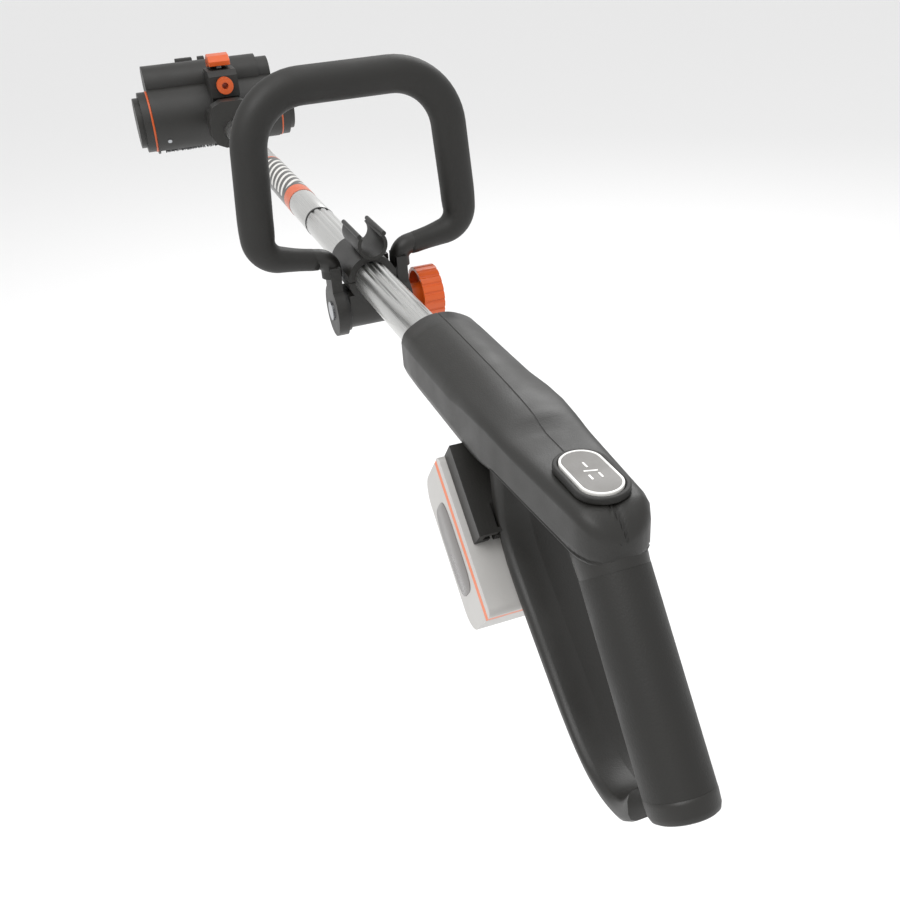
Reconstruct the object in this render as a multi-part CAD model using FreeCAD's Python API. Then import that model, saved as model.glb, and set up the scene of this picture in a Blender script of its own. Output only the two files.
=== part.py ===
import FreeCAD, Part
import math
import os

# Cordless roller-brush surface cleaner on a pole, held by a D-shaped rear handle.
#
# Millimetres. It is drawn about the tube: the tube's axis is the line y = 0, z = 0, x runs forward
# to the head from the front rim of the rear housing, +Y is the operator's left and +Z is up.
# save() moves every piece by ORIGIN_SHIFT, so that the finished part has its origin at the middle
# of the rear grip.

V = FreeCAD.Vector
OUT = "parts"

# ---- fits ------------------------------------------------------------------------------------
RUN = 0.05              # radial clearance of a running fit
SLIDE = 0.4             # clearance round a piece that slides
APART = 0.3             # gap between curved faces on different bodies
WALL = 2.8              # moulded wall
SCREW_R = 1.5           # shank of a housing screw
SCREW_HEAD_R = 2.9

# ---- tube ------------------------------------------------------------------------------------
TUBE_R = 15.0
TUBE_WALL = 1.2
TUBE_IN_HOUSING = 70.0  # length held inside the rear housing
JOINT_X = 350.0         # where the two tube halves meet
JOINT_RING_W = 3.0
SPIGOT_LEN = 80.0
SOCKET_X = 861.0        # rear rim of the head's tube socket
TUBE_IN_SOCKET = 24.0
SLEEVE_T = 0.35         # printed sleeve and bands on the tube
NEAR_BAND_X = 428.0
NEAR_BAND_W = 25.0
FAR_BAND_X = 596.0
FAR_BAND_W = 4.5
CABLE_R = 3.5

# ---- rear housing ----------------------------------------------------------------------------
BARREL_W = 28.0         # half width
BARREL_TOP = 31.0
BARREL_BOTTOM = -26.0
BARREL_LEN = 270.0
RAMP_TOP_X = -157.0
RAMP_TOP_Z = 28.5
RAMP_FOOT_X = -176.0
PLATEAU_Z = 21.5
REAR_CHAMFER = 7.0
TAIL_W = 21.0           # half width where the round tail starts
TAIL_X = -240.0
WAIST_X = -120.0        # from here the barrel narrows to the tail
WINDOW_TOP_Z = -12.0

# ---- D-shaped handle ---------------------------------------------------------------------------
GRIP_ANGLE = 38.3       # lean of the grip from upright
GRIP_MID_X = -283.0
GRIP_MID_Z = -60.0
GRIP_LEN = 110.0
GRIP_BACK = -1.5        # the grip's centre line behind the frame line
GRIP_END = 12.0         # end block below the soft grip
GRIP_DEPTH = 20.0       # half depth
GRIP_W = 18.0           # half width
GRIP_SKIN = 2.6         # soft overmould
STRUT_W = 20.5          # half width of the front strut and the bridge
GRIP_SEAM_Z = -3.0
GRIP_SEAM_X = -236.0

# ---- controls ----------------------------------------------------------------------------------
BUTTON_X = -226.0
BUTTON_L = 22.0         # half length
BUTTON_W = 11.5         # half width
BUTTON_RISE = 5.0
BUTTON_TRAVEL = 1.0
BEZEL_W = 3.2
BEZEL_RISE = 4.0
RING_W = 1.5
TRIGGER_W = 6.3         # half width
TRIGGER_LEN = 38.0
TRIGGER_OUT = 11.0
TRIGGER_PIN_R = 2.0
TRIGGER_TURN = 12.0
LOCK_X = -205.0
LOCK_Z = 3.0
LOCK_R = 6.0
LOCK_OUT = 3.0
LOCK_TRAVEL = 2.5

# ---- battery -----------------------------------------------------------------------------------
PACK_ANGLE = 49.0       # lean of the slide rails from upright
PACK_X = -87.0          # top of the pack's coloured band
PACK_Z = -32.0
PACK_LEN = 104.0
PACK_W = 37.0           # half width
PACK_NEAR = -10.0       # face towards the strut
PACK_FAR = 44.0
PACK_R = 16.0           # corner radius in side view
BAND_W = 3.0            # half width of the coloured band
RAIL_IN = 21.2          # the rails straddle the strut
RAIL_NECK_OUT = 23.2
RAIL_OUT = 28.0
RAIL_NECK = -16.0
RAIL_TOP = -22.0
RAIL_FROM = -56.0
RAIL_TO = -5.0
RECEIVER_W = 33.0
RECEIVER_BACK = -27.0
RECEIVER_FROM = -60.0
RECEIVER_TO = -1.0
CELL_R = 9.0
CELL_LEN = 65.0
CELLS_PER_ROW = 5
LATCH_PRESS = 2.5

# ---- front handle ------------------------------------------------------------------------------
CLAMP_X = 167.0
CLAMP_LEN = 60.0
CLAMP_R = 20.5
CLAMP_SPLIT = 0.6       # gap between the clamp halves
PIVOT_X = 186.0
PIVOT_Z = -28.0
LUG_W = 21.0            # half width of the clamp's pivot lug
LUG_R = 17.0
WASHER_T = 3.2
WASHER_R = 19.0
LEG_T = 9.0
LEG_R = 22.0
BOLT_R = 4.0
KNOB_R = 24.0
KNOB_T = 18.0
HUB_R = 10.5
BAR_R = 8.5
LOOP_GRIP_R = 14.5
LOOP_LOW_Y = 88.0
LOOP_LOW_Z = 27.0
LOOP_TOP_Y = 79.0
LOOP_TOP_Z = 155.5
LOOP_CORNER = 52.0
LOOP_LOW_CORNER = 20.0
CLIP_R = 9.5            # hose that the clip holds
CLIP_T = 3.0
CLIP_Z = 32.5
CLIP_X = 155.0
CLIP_LEN = 50.0

# ---- head --------------------------------------------------------------------------------------
LOBE_X = 973.0          # axis of the hood's lower lobe and its end covers
LOBE_Z = 7.0
ROLLER_X = 977.0        # axis of the brush, towards the open side of the hood
ROLLER_Z = -6.0
MOTOR_X = 996.0
MOTOR_Z = 52.0
TILT_X = 905.0
TILT_Z = 10.0
TILT_R = 15.0
NECK_W = 19.0
FORK_W = 31.0
LOBE_R = 46.0
LOBE_WALL = 2.6
UPPER_R = 29.0
HEAD_LEFT = 104.0
HEAD_RIGHT = -62.0
CASE_T = 18.0
PLATE_T = 2.5
CAP_R = 42.0
CAP_T = 22.0
GASKET_T = 3.0
BRUSH_R = 34.5
BRUSH_GAP = 0.8
BRUSH_CORE_R = 14.0
ROLLER_SHAFT_R = 5.0
BEARING_R = 11.0
BEARING_T = 6.0
MOTOR_R = 20.0
MOTOR_BORE = 22.6      # hood's motor chamber
MOTOR_LEN = 96.0
MOTOR_SHAFT_R = 3.0
NIPPLE_X = 891.0
NIPPLE_Z = 56.0
NIPPLE_R = 11.5
NIPPLE_FREE = 7.5
NIPPLE_SHANK_R = 9.0
TAIL_SCREW_X = -255.0
TAIL_SCREW_DEPTH = -11.0
NIPPLE_BORE_R = 4.5
BOOT_X = 899.0
LATCH_W = 15.0

# ---- gears: teeth, module and the places that follow from them -----------------------------------
PRESSURE = math.radians(25.0)
BACKLASH = 0.2
MODULE = 1.25
PINION_TEETH = 17
IDLER_TEETH = 31
ROLLER_TEETH = 41
GEAR_T = 8.0
GEAR_Y = HEAD_RIGHT - 4.0 - GEAR_T
IDLER_SHAFT_R = 4.0


def rotation_y(degrees):
    return FreeCAD.Rotation(V(0, 1, 0), degrees)


GRIP_FRAME = FreeCAD.Placement(V(GRIP_MID_X, 0, GRIP_MID_Z), rotation_y(GRIP_ANGLE))
PACK_FRAME = FreeCAD.Placement(V(PACK_X, 0, PACK_Z), rotation_y(PACK_ANGLE))
ORIGIN_SHIFT = V(-GRIP_MID_X, 0, -GRIP_MID_Z)


# ---- helpers -------------------------------------------------------------------------------------
def placed(shape, frame):
    """A copy of a shape drawn in a local frame, put where that frame is."""
    moved = shape.copy()
    moved.Placement = frame.multiply(moved.Placement)
    return moved


def fuse(shapes):
    whole = shapes[0]
    if len(shapes) > 1:
        whole = shapes[0].multiFuse(shapes[1:])
    return whole.removeSplitter()


def block(x0, x1, y0, y1, z0, z1):
    return Part.makeBox(x1 - x0, y1 - y0, z1 - z0, V(x0, y0, z0))


def rod_x(radius, x0, x1, y=0.0, z=0.0):
    return Part.makeCylinder(radius, x1 - x0, V(x0, y, z), V(1, 0, 0))


def rod_y(radius, y0, y1, x=0.0, z=0.0):
    return Part.makeCylinder(radius, y1 - y0, V(x, y0, z), V(0, 1, 0))


def rod_z(radius, z0, z1, x=0.0, y=0.0):
    return Part.makeCylinder(radius, z1 - z0, V(x, y, z0), V(0, 0, 1))


def tube_x(outer, inner, x0, x1, y=0.0, z=0.0):
    return rod_x(outer, x0, x1, y, z).cut(rod_x(inner, x0 - 1, x1 + 1, y, z))


def tube_y(outer, inner, y0, y1, x=0.0, z=0.0):
    return rod_y(outer, y0, y1, x, z).cut(rod_y(inner, y0 - 1, y1 + 1, x, z))


def slab_xz(points, y0, y1):
    """A side-view polygon, as a slab between two values of y."""
    wire = Part.makePolygon([V(x, y0, z) for x, z in points + points[:1]])
    return Part.Face(wire).extrude(V(0, y1 - y0, 0))


def rounded_wire(points, radii, closed=False):
    """Straight runs joined by tangent arcs: radii[i] is the arc at points[i], 0 for none."""
    count = len(points)
    edges = []
    starts = []
    ends = []
    for i, point in enumerate(points):
        radius = radii[i]
        open_end = not closed and i in (0, count - 1)
        if open_end or radius == 0:
            starts.append(point)
            ends.append(point)
            continue
        back = (points[i - 1] - point).normalize()
        ahead = (points[(i + 1) % count] - point).normalize()
        half = back.getAngle(ahead) / 2
        reach = radius / math.tan(half)
        middle = (back + ahead).normalize() * (radius / math.sin(half) - radius)
        first = point + back * reach
        last = point + ahead * reach
        edges.append(Part.Arc(first, point + middle, last).toShape())
        starts.append(first)
        ends.append(last)
    for i in range(count if closed else count - 1):
        a = ends[i]
        b = starts[(i + 1) % count]
        if (b - a).Length > 1e-6:
            edges.append(Part.LineSegment(a, b).toShape())
    return Part.Wire(Part.__sortEdges__(edges))


def rounded_slab(points, radii, y0, y1):
    wire = rounded_wire([V(x, y0, z) for x, z in points], radii, closed=True)
    return Part.Face(wire).extrude(V(0, y1 - y0, 0))


def stadium(half_len, half_w, z0, z1, x=0.0):
    """A flat round-ended bar along x."""
    run = half_len - half_w
    body = block(x - run, x + run, -half_w, half_w, z0, z1)
    ends = [rod_z(half_w, z0, z1, x - run), rod_z(half_w, z0, z1, x + run)]
    return fuse([body] + ends)


def stadium_xz(radius, span, y0, y1):
    """A round-ended plate in side view, from the local origin to x = span."""
    body = block(0, span, y0, y1, -radius, radius)
    return fuse([body, rod_y(radius, y0, y1), rod_y(radius, y0, y1, span)])


def elliptic_bar(depth, width, z0, z1):
    edge = Part.Ellipse(V(0, 0, z0), depth, width).toShape()
    return Part.Face(Part.Wire(edge)).extrude(V(0, 0, z1 - z0))


def sweep(wire, radius):
    start = wire.OrderedEdges[0]
    direction = start.tangentAt(start.FirstParameter)
    circle = Part.Circle(start.valueAt(start.FirstParameter), direction, radius)
    profile = Part.Wire(circle.toShape())
    return wire.makePipeShell([profile], True, True)


def coil(radius, wire_r, turns, length):
    """A closed stand-in for a coil spring: its rings, joined by a thin core sleeve."""
    rings = []
    for i in range(turns):
        z = length * (i + 0.5) / turns
        rings.append(Part.makeTorus(radius, wire_r, V(0, 0, z)))
    sleeve = rod_z(radius + 0.2, 0, length).cut(rod_z(radius - 0.2, -1, length + 1))
    return fuse([sleeve] + rings)


def involute_gear(teeth, module, thickness, turn=0.0):
    """A spur gear about the y axis, with one tooth centre at the angle turn from +x."""
    pitch = module * teeth / 2
    base = pitch * math.cos(PRESSURE)
    tip = pitch + 0.9 * module
    root = pitch - 1.2 * module
    at_pitch = math.tan(PRESSURE) - PRESSURE
    half_tooth = (math.pi * module / 2 - BACKLASH) / 2 / pitch

    def flank(radius):
        alpha = math.acos(min(1.0, base / radius))
        return half_tooth + at_pitch - (math.tan(alpha) - alpha)

    start = max(base, root)
    levels = [start + (tip - start) * i / 4 for i in range(5)]
    points = []
    for k in range(teeth):
        centre = turn + 2 * math.pi * k / teeth
        sides = [(r, centre - flank(r)) for r in levels]
        if root < start:
            sides.insert(0, (root, centre - flank(start)))
        outward = sides + [(r, 2 * centre - a) for r, a in reversed(sides)]
        points += [V(r * math.cos(a), 0, r * math.sin(a)) for r, a in outward]
    wire = Part.makePolygon(points + points[:1])
    return Part.Face(wire).extrude(V(0, thickness, 0))


def save(name, shape):
    """Writes one node, moved so that the part's origin is the middle of the rear grip."""
    moved = shape.copy()
    moved.translate(ORIGIN_SHIFT)
    moved.exportStep(os.path.join(OUT, name + ".step"))


# ---- rear housing -----------------------------------------------------------------------------
BODY_SECTION = [(11, 31), (23, 24), (28, 15), (28, -5), (24, -13), (14, BARREL_BOTTOM)]
BODY_SIDE = [
    (0, 30.0), (-100, 28.5), (RAMP_TOP_X, 26.0), (RAMP_FOOT_X, 20.5), (-182, PLATEAU_Z), (-251, PLATEAU_Z),
    (-259, 15), (-264, -2), (-262, WINDOW_TOP_Z), (-162, WINDOW_TOP_Z), (-146, BARREL_BOTTOM), (0, BARREL_BOTTOM),
]
BODY_PLAN = [(0, 28), (-143, 28), (TAIL_X, 21), (-257, 15), (-264, 6)]
STRUT_OUTER = [
    (-125, -20), (-133, -27), (-137, -42), (-151, -69), (-176, -91), (-203, -111), (-229, -130),
    (-255, -144), (-277, -146), (-297, -140), (-316, -127),
]
STRUT_INNER = [
    (-303, -113), (-291, -131), (-253, -137), (-248, -131), (-214, -106), (-185, -84), (-158, -63),
    (-147, -48), (-147, -23), (-162, -11), (-162, -5), (-125, -5),
]


def section_x(points, x0, x1):
    """Extrudes half a cross-section, mirrored about y = 0, along x."""
    whole = points + [(-y, z) for y, z in reversed(points)]
    wire = Part.makePolygon([V(x0, y, z) for y, z in whole + whole[:1]])
    return Part.Face(wire).extrude(V(x1 - x0, 0, 0))


def plan_slab(points, z0, z1):
    whole = points + [(x, -y) for x, y in reversed(points)]
    wire = Part.makePolygon([V(x, y, z0) for x, y in whole + whole[:1]])
    return Part.Face(wire).extrude(V(0, 0, z1 - z0))


def barrel(inset=0.0):
    """The outer body above the window; inset makes the smaller solid that hollows it."""
    section = [(y - inset * 0.6, z - inset if z > 0 else z + inset * 0.8) for y, z in BODY_SECTION]
    side = [(x, z - inset if z > 0 else z + inset) for x, z in BODY_SIDE]
    plan = [(x, y - inset) for x, y in BODY_PLAN]
    body = section_x(section, -270, 0)
    body = body.common(slab_xz(side, -60, 60))
    return body.common(plan_slab(plan, -60, 60))


def loop_body():
    """Strut, bridge and the end of the D-shaped handle."""
    radii = [0] * len(STRUT_OUTER) + [0] * len(STRUT_INNER)
    flat = rounded_slab(STRUT_OUTER + STRUT_INNER, radii, -STRUT_W + 0.5, STRUT_W - 0.5)
    end = elliptic_bar(GRIP_DEPTH, GRIP_W, -GRIP_LEN / 2 - GRIP_END, -GRIP_LEN / 2)
    end.translate(V(GRIP_BACK, 0, 0))
    core = elliptic_bar(GRIP_DEPTH - GRIP_SKIN, GRIP_W - GRIP_SKIN, -GRIP_LEN / 2 - 1, GRIP_LEN / 2 + 8)
    core.translate(V(GRIP_BACK, 0, 0))
    return fuse([flat, placed(end, GRIP_FRAME), placed(core, GRIP_FRAME)])


def trigger_slot():
    slot = block(-7, 40, -TRIGGER_W - SLIDE, TRIGGER_W + SLIDE, 3, 52)
    return placed(slot, GRIP_FRAME)


def housing_outer():
    return barrel().fuse(loop_body()).removeSplitter()


def housing_hollow():
    """Space for the tube, the electronics and the trigger."""
    inner = barrel(WALL)
    inner = inner.common(block(-250, -TUBE_IN_HOUSING + 0, -60, 60, WINDOW_TOP_Z + WALL, 60))
    tube_seat = rod_x(TUBE_R, -TUBE_IN_HOUSING, 1)
    window = stadium(BUTTON_L - 4, BUTTON_W - 4, PLATEAU_Z - 10, PLATEAU_Z + 10, BUTTON_X)
    lock = rod_y(LOCK_R + SLIDE, -40, 0, LOCK_X, LOCK_Z)
    grip_bore = placed(rod_z(9.5, -GRIP_LEN / 2 + 6, GRIP_LEN / 2 + 4), GRIP_FRAME)
    return [inner, tube_seat, window, lock, grip_bore, trigger_slot()]


def screw_places():
    return [(-20, -20.5), (-116, -14.5), (TAIL_SCREW_X, -5), (-156, -70), (-240, -134), (-300, -134)]


def make_housing():
    whole = housing_outer()
    for tool in housing_hollow():
        whole = whole.cut(tool)
    pin = rod_y(TRIGGER_PIN_R, -10, 10, 9, 45)
    whole = whole.cut(placed(pin, GRIP_FRAME))
    screws = []
    for x, z in screw_places():
        depth = -17.0 if x < -120 else -13.0
        if x == TAIL_SCREW_X:
            depth = TAIL_SCREW_DEPTH
        shank = rod_y(SCREW_R, depth, 9, x, z)
        head = rod_y(SCREW_HEAD_R, depth - 2.2, depth, x, z)
        screws.append(fuse([shank, head]))
        whole = whole.cut(rod_y(SCREW_HEAD_R + SLIDE, -40, depth, x, z))
        whole = whole.cut(rod_y(SCREW_R, depth - 1, 9, x, z))
    left = whole.common(block(-400, 10, 0, 60, -200, 60))
    right = whole.common(block(-400, 10, -60, 0, -200, 60))
    return left, right, Part.makeCompound(screws)


def grip_sleeve():
    half = GRIP_LEN / 2
    sleeve = elliptic_bar(GRIP_DEPTH, GRIP_W, -half, half - 2)
    core = elliptic_bar(GRIP_DEPTH - GRIP_SKIN, GRIP_W - GRIP_SKIN, -half - 1, half)
    sleeve = sleeve.cut(core)
    sleeve.translate(V(GRIP_BACK, 0, 0))
    sleeve = placed(sleeve, GRIP_FRAME).cut(barrel())
    strut = rounded_slab(STRUT_OUTER + STRUT_INNER, [0] * 23, -STRUT_W, STRUT_W)
    return sleeve.cut(trigger_slot()).cut(strut)


def speed_button():
    bezel_l = BUTTON_L + BEZEL_W
    bezel_w = BUTTON_W + BEZEL_W
    top = PLATEAU_Z + BEZEL_RISE
    bezel = stadium(bezel_l, bezel_w, PLATEAU_Z, top, BUTTON_X)
    bezel = bezel.cut(stadium(BUTTON_L + SLIDE, BUTTON_W + SLIDE, PLATEAU_Z + 1, top + 1, BUTTON_X))
    bezel = bezel.cut(stadium(BUTTON_L - 4, BUTTON_W - 4, PLATEAU_Z - 1, PLATEAU_Z + 2, BUTTON_X))
    high = PLATEAU_Z + BUTTON_RISE
    low = PLATEAU_Z + 1 + BUTTON_TRAVEL + 0.2
    ring = stadium(BUTTON_L, BUTTON_W, low, high, BUTTON_X)
    ring = ring.cut(stadium(BUTTON_L - RING_W, BUTTON_W - RING_W, low - 1, high + 1, BUTTON_X))
    plate = stadium(BUTTON_L - RING_W, BUTTON_W - RING_W, low, high - 0.2, BUTTON_X)
    plate = plate.cut(stadium(BUTTON_L - 6, BUTTON_W - 6, low - 1, high - 1.4, BUTTON_X))
    stem = block(BUTTON_X - 3, BUTTON_X + 3, -3, 3, 14.5, high - 1.0)
    return bezel, ring, fuse([plate, stem])


def trigger_parts():
    pivot = rod_y(TRIGGER_PIN_R + RUN, -TRIGGER_W - 1, TRIGGER_W + 1, 9, 45)
    side = [(5, 49), (13, 49), (22, 42), (27, 30), (26, 17), (22, 8), (18, 7), (9, 12), (5, 30)]
    lever = slab_xz(side, -TRIGGER_W, TRIGGER_W).cut(pivot)
    lever = lever.cut(block(4, 14, -3, 3, 38, 50))
    pin = rod_y(TRIGGER_PIN_R, -10, 10, 9, 45)
    spring = tube_y(3.6, TRIGGER_PIN_R + 0.2, -2.6, 2.6, 9, 45)
    return placed(lever, GRIP_FRAME), placed(pin, GRIP_FRAME), placed(spring, GRIP_FRAME)


def lock_off_button():
    stem = rod_y(LOCK_R, -27.5, -14, LOCK_X, LOCK_Z)
    flange = rod_y(LOCK_R + 2, -17, -14, LOCK_X, LOCK_Z)
    return fuse([stem, flange])


def control_board():
    board = block(-246, -180, -10.6, 13, -4, -2.4)
    chips = [block(-200, -188, -8, 4, -2.4, 1), rod_z(4, -2.4, 9, -240, -6), block(-232, -220, -5, 5, -2.4, 11)]
    return fuse([board] + chips)


def board_posts():
    return fuse([block(-246, -180, -10.6, -8.6, -9.2, -4), block(-246, -180, 10, 12, -9.2, -4)])


# ---- battery and its receiver -------------------------------------------------------------------
def receiver():
    body = block(RECEIVER_BACK, PACK_NEAR - 0.4, -RECEIVER_W, RECEIVER_W, RECEIVER_FROM, RECEIVER_TO)
    for side in (-1, 1):
        y0, y1 = sorted((side * (RAIL_IN - SLIDE), side * (RAIL_OUT + SLIDE)))
        body = body.cut(block(RAIL_TOP - SLIDE, RAIL_NECK + SLIDE, y0, y1, RECEIVER_FROM - 1, RAIL_TO + SLIDE))
        y0, y1 = sorted((side * (RAIL_IN - SLIDE), side * (RAIL_NECK_OUT + SLIDE)))
        body = body.cut(block(RAIL_NECK - 1, PACK_NEAR + 1, y0, y1, RECEIVER_FROM - 1, RAIL_TO + SLIDE))
    body = placed(body.cut(terminal_space()), PACK_FRAME)
    return body.cut(barrel()).cut(rounded_slab(STRUT_OUTER + STRUT_INNER, [0] * 23, -STRUT_W, STRUT_W))


def terminal_space():
    return block(PACK_NEAR - 6.4, PACK_NEAR + 1, -14, 14, -46, -22)


def terminal_block():
    body = block(PACK_NEAR - 6.4, PACK_NEAR - 2.4, -14, 14, -46, -22)
    blades = [block(PACK_NEAR - 2.4, PACK_NEAR - 0.4, y - 1, y + 1, -44, -24) for y in (-10, -3.4, 3.4, 10)]
    return placed(fuse([body] + blades), PACK_FRAME)


def pack_body(inset=0.0):
    """The pack as a solid: round-cornered from the side, with rounded long edges."""
    body = block(PACK_NEAR + inset, PACK_FAR - inset, inset - PACK_W, PACK_W - inset, inset - PACK_LEN, -inset)
    along_y = [e for e in body.Edges if abs(e.tangentAt(0).y) > 0.9 and e.CenterOfMass.x > 0]
    body = body.makeFillet(PACK_R, along_y)
    near = [e for e in body.Edges if abs(e.tangentAt(e.FirstParameter).y) > 0.9 and e.CenterOfMass.x < PACK_NEAR + inset + 1]
    return body.makeFillet(5.0, near)


def battery_parts():
    whole = pack_body()
    inner = pack_body(2.4)
    slot = block(PACK_NEAR - 1, -3.4, -9.4, 9.4, -11, 1)
    upper = whole.common(block(-40, -BAND_W, -60, 60, -200, 60)).cut(inner).cut(slot)
    rails = []
    for side in (-1, 1):
        y0, y1 = sorted((side * RAIL_IN, side * RAIL_OUT))
        rails.append(block(RAIL_TOP, RAIL_NECK, y0, y1, RAIL_FROM, RAIL_TO))
        y0, y1 = sorted((side * RAIL_IN, side * RAIL_NECK_OUT))
        rails.append(block(RAIL_NECK, PACK_NEAR + 1, y0, y1, RAIL_FROM, RAIL_TO))
    upper = fuse([upper] + rails)
    lower = whole.common(block(BAND_W, 80, -60, 60, -200, 60)).cut(inner)
    band = whole.common(block(-BAND_W, BAND_W, -60, 60, -200, 60))
    core = block(-80, 80, 4 - PACK_W, PACK_W - 4, 4 - PACK_LEN, -4)
    band = band.cut(core)
    latch = block(PACK_NEAR + 2.5, -3.8, -9, 9, -8, -0.4)
    cells = []
    pitch = 2 * CELL_R + 1.0
    for row in range(2):
        for i in range(CELLS_PER_ROW):
            z = -PACK_LEN / 2 + (i - 2) * pitch
            cells.append(rod_y(CELL_R, -CELL_LEN / 2, CELL_LEN / 2, 9.5 + row * pitch, z))
    tray = block(9.5, 9.5 + pitch, -CELL_LEN / 2 + 8, CELL_LEN / 2 - 8, -PACK_LEN + 8, -8)
    feet = [block(34, PACK_FAR - 2.4, y, y + 6, -80, -34) for y in (-24, 18)]
    group = fuse(cells + [tray] + feet)
    return [placed(p, PACK_FRAME) for p in (upper, lower, band, latch, group)]


# ---- tube ---------------------------------------------------------------------------------------
def tube_parts():
    inner = TUBE_R - TUBE_WALL
    upper = tube_x(TUBE_R, inner, -TUBE_IN_HOUSING, JOINT_X)
    lower = tube_x(TUBE_R, inner, JOINT_X + JOINT_RING_W, SOCKET_X + TUBE_IN_SOCKET)
    spigot = tube_x(inner, inner - 2, JOINT_X - SPIGOT_LEN / 2, JOINT_X + SPIGOT_LEN / 2)
    ring = tube_x(TUBE_R + 0.3, inner, JOINT_X, JOINT_X + JOINT_RING_W)
    near = tube_x(TUBE_R + SLEEVE_T, TUBE_R, NEAR_BAND_X, NEAR_BAND_X + NEAR_BAND_W)
    label = tube_x(TUBE_R + SLEEVE_T, TUBE_R, NEAR_BAND_X + NEAR_BAND_W, FAR_BAND_X)
    far = tube_x(TUBE_R + SLEEVE_T, TUBE_R, FAR_BAND_X, FAR_BAND_X + FAR_BAND_W)
    clips = [rod_x(inner - 2.2, x, x + 6) for x in (JOINT_X - 20, JOINT_X + 14)]
    lead = fuse([rod_x(CABLE_R, -120, SOCKET_X + TUBE_IN_SOCKET - 2)] + clips)
    return upper, lower, spigot, ring, Part.makeCompound([near, far]), label, lead


# ---- front handle --------------------------------------------------------------------------------
def clamp_parts():
    x1 = CLAMP_X + CLAMP_LEN
    ring = tube_x(CLAMP_R, TUBE_R, CLAMP_X, x1)
    ears = block(CLAMP_X, x1, -27, 27, -5, 5).cut(rod_x(TUBE_R, CLAMP_X - 1, x1 + 1))
    ears = ears.cut(block(PIVOT_X - LEG_R - 3, PIVOT_X + LEG_R + 2, -40, -CLAMP_R, -9, 9))
    ears = ears.cut(block(PIVOT_X - LEG_R - 3, PIVOT_X + LEG_R + 2, CLAMP_R, 40, -9, 9))
    body = fuse([ring, ears])
    holes = [rod_z(SCREW_R, -9, 9, x1 - 8, y) for y in (-23.2, 23.2)]
    body = body.cut(Part.makeCompound(holes))
    upper = body.common(block(0, 400, -60, 60, CLAMP_SPLIT / 2, 60))
    lower = body.common(block(0, 400, -60, 60, -60, -CLAMP_SPLIT / 2))
    clip = tube_x(CLIP_R + CLIP_T, CLIP_R, CLIP_X, CLIP_X + CLIP_LEN, 0, CLIP_Z)
    mouth = Part.Face(Part.makePolygon([V(0, 0, CLIP_Z), V(0, -40, CLIP_Z + 31), V(0, 40, CLIP_Z + 31), V(0, 0, CLIP_Z)]))
    clip = clip.cut(mouth.extrude(V(400, 0, 0)))
    tips = [rod_x(1.9, CLIP_X, CLIP_X + CLIP_LEN, y, CLIP_Z + 8.2) for y in (-10.2, 10.2)]
    foot = block(CLAMP_X, CLIP_X + CLIP_LEN, -5, 5, CLAMP_R - 1.5, CLIP_Z - CLIP_R - 0.5)
    clip_keep = rod_x(CLIP_R, CLIP_X - 1, CLIP_X + CLIP_LEN + 1, 0, CLIP_Z)
    upper = fuse([upper, clip, foot] + tips).cut(clip_keep)
    lug = fuse([rod_y(LUG_R, -LUG_W, LUG_W, PIVOT_X, PIVOT_Z), block(PIVOT_X - LUG_R, PIVOT_X + LUG_R, -LUG_W, LUG_W, PIVOT_Z, -12)])
    lug = lug.cut(rod_x(TUBE_R, 0, 400)).cut(rod_y(BOLT_R + 0.1, -60, 60, PIVOT_X, PIVOT_Z))
    lower = fuse([lower, lug]).cut(rod_x(TUBE_R, 0, 400))
    screws = []
    for y in (-23.2, 23.2):
        screws.append(fuse([rod_z(SCREW_R, -4, 5, x1 - 8, y), rod_z(SCREW_HEAD_R, 5, 7, x1 - 8, y)]))
    return upper, lower, Part.makeCompound(screws)


def washers():
    """A toothed washer on each side of the lug."""
    rings = []
    for side in (-1, 1):
        y0, y1 = sorted((side * (LUG_W), side * (LUG_W + WASHER_T)))
        rings.append(tube_y(WASHER_R, BOLT_R + 0.1, y0, y1, PIVOT_X, PIVOT_Z))
    return Part.makeCompound(rings)


def loop_points():
    low = LUG_W + WASHER_T + 0.2 + LEG_T / 2 + 1
    points = [(low, 2), (low, 17), (LOOP_LOW_Y, LOOP_LOW_Z), (LOOP_TOP_Y, LOOP_TOP_Z)]
    both = points + [(-y, z) for y, z in reversed(points)]
    radii = [0, 11, LOOP_LOW_CORNER, LOOP_CORNER, LOOP_CORNER, LOOP_LOW_CORNER, 11, 0]
    return [V(PIVOT_X, y, z) for y, z in both], radii


def loop_grip_points():
    points, radii = loop_points()
    ends = []
    for y in (LOOP_LOW_Y, -LOOP_LOW_Y):
        dx = (LOOP_TOP_Y - LOOP_LOW_Y) * 0.19
        ends.append(V(PIVOT_X, y + (dx if y > 0 else -dx), LOOP_LOW_Z + (LOOP_TOP_Z - LOOP_LOW_Z) * 0.19))
    return [ends[0], points[3], points[4], ends[1]], [0, LOOP_CORNER, LOOP_CORNER, 0]


def front_handle():
    points, radii = loop_points()
    bar = sweep(rounded_wire(points, radii), BAR_R)
    legs = []
    y0 = LUG_W + WASHER_T + 0.2
    for side in (-1, 1):
        a, b = sorted((side * y0, side * (y0 + LEG_T)))
        legs.append(rod_y(LEG_R, a, b, PIVOT_X, PIVOT_Z))
        legs.append(block(PIVOT_X - 11, PIVOT_X + 11, a, b, PIVOT_Z, 12))
    frame = fuse([bar] + legs).cut(rod_y(BOLT_R + 0.1, -60, 60, PIVOT_X, PIVOT_Z))
    nut_seat = y0 + LEG_T - 4
    frame = frame.cut(rod_y(8.2, nut_seat, nut_seat + 20, PIVOT_X, PIVOT_Z))
    gp, gr = loop_grip_points()
    path = rounded_wire(gp, gr)
    grip = sweep(path, LOOP_GRIP_R).cut(sweep(path, BAR_R))
    return frame, grip


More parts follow.
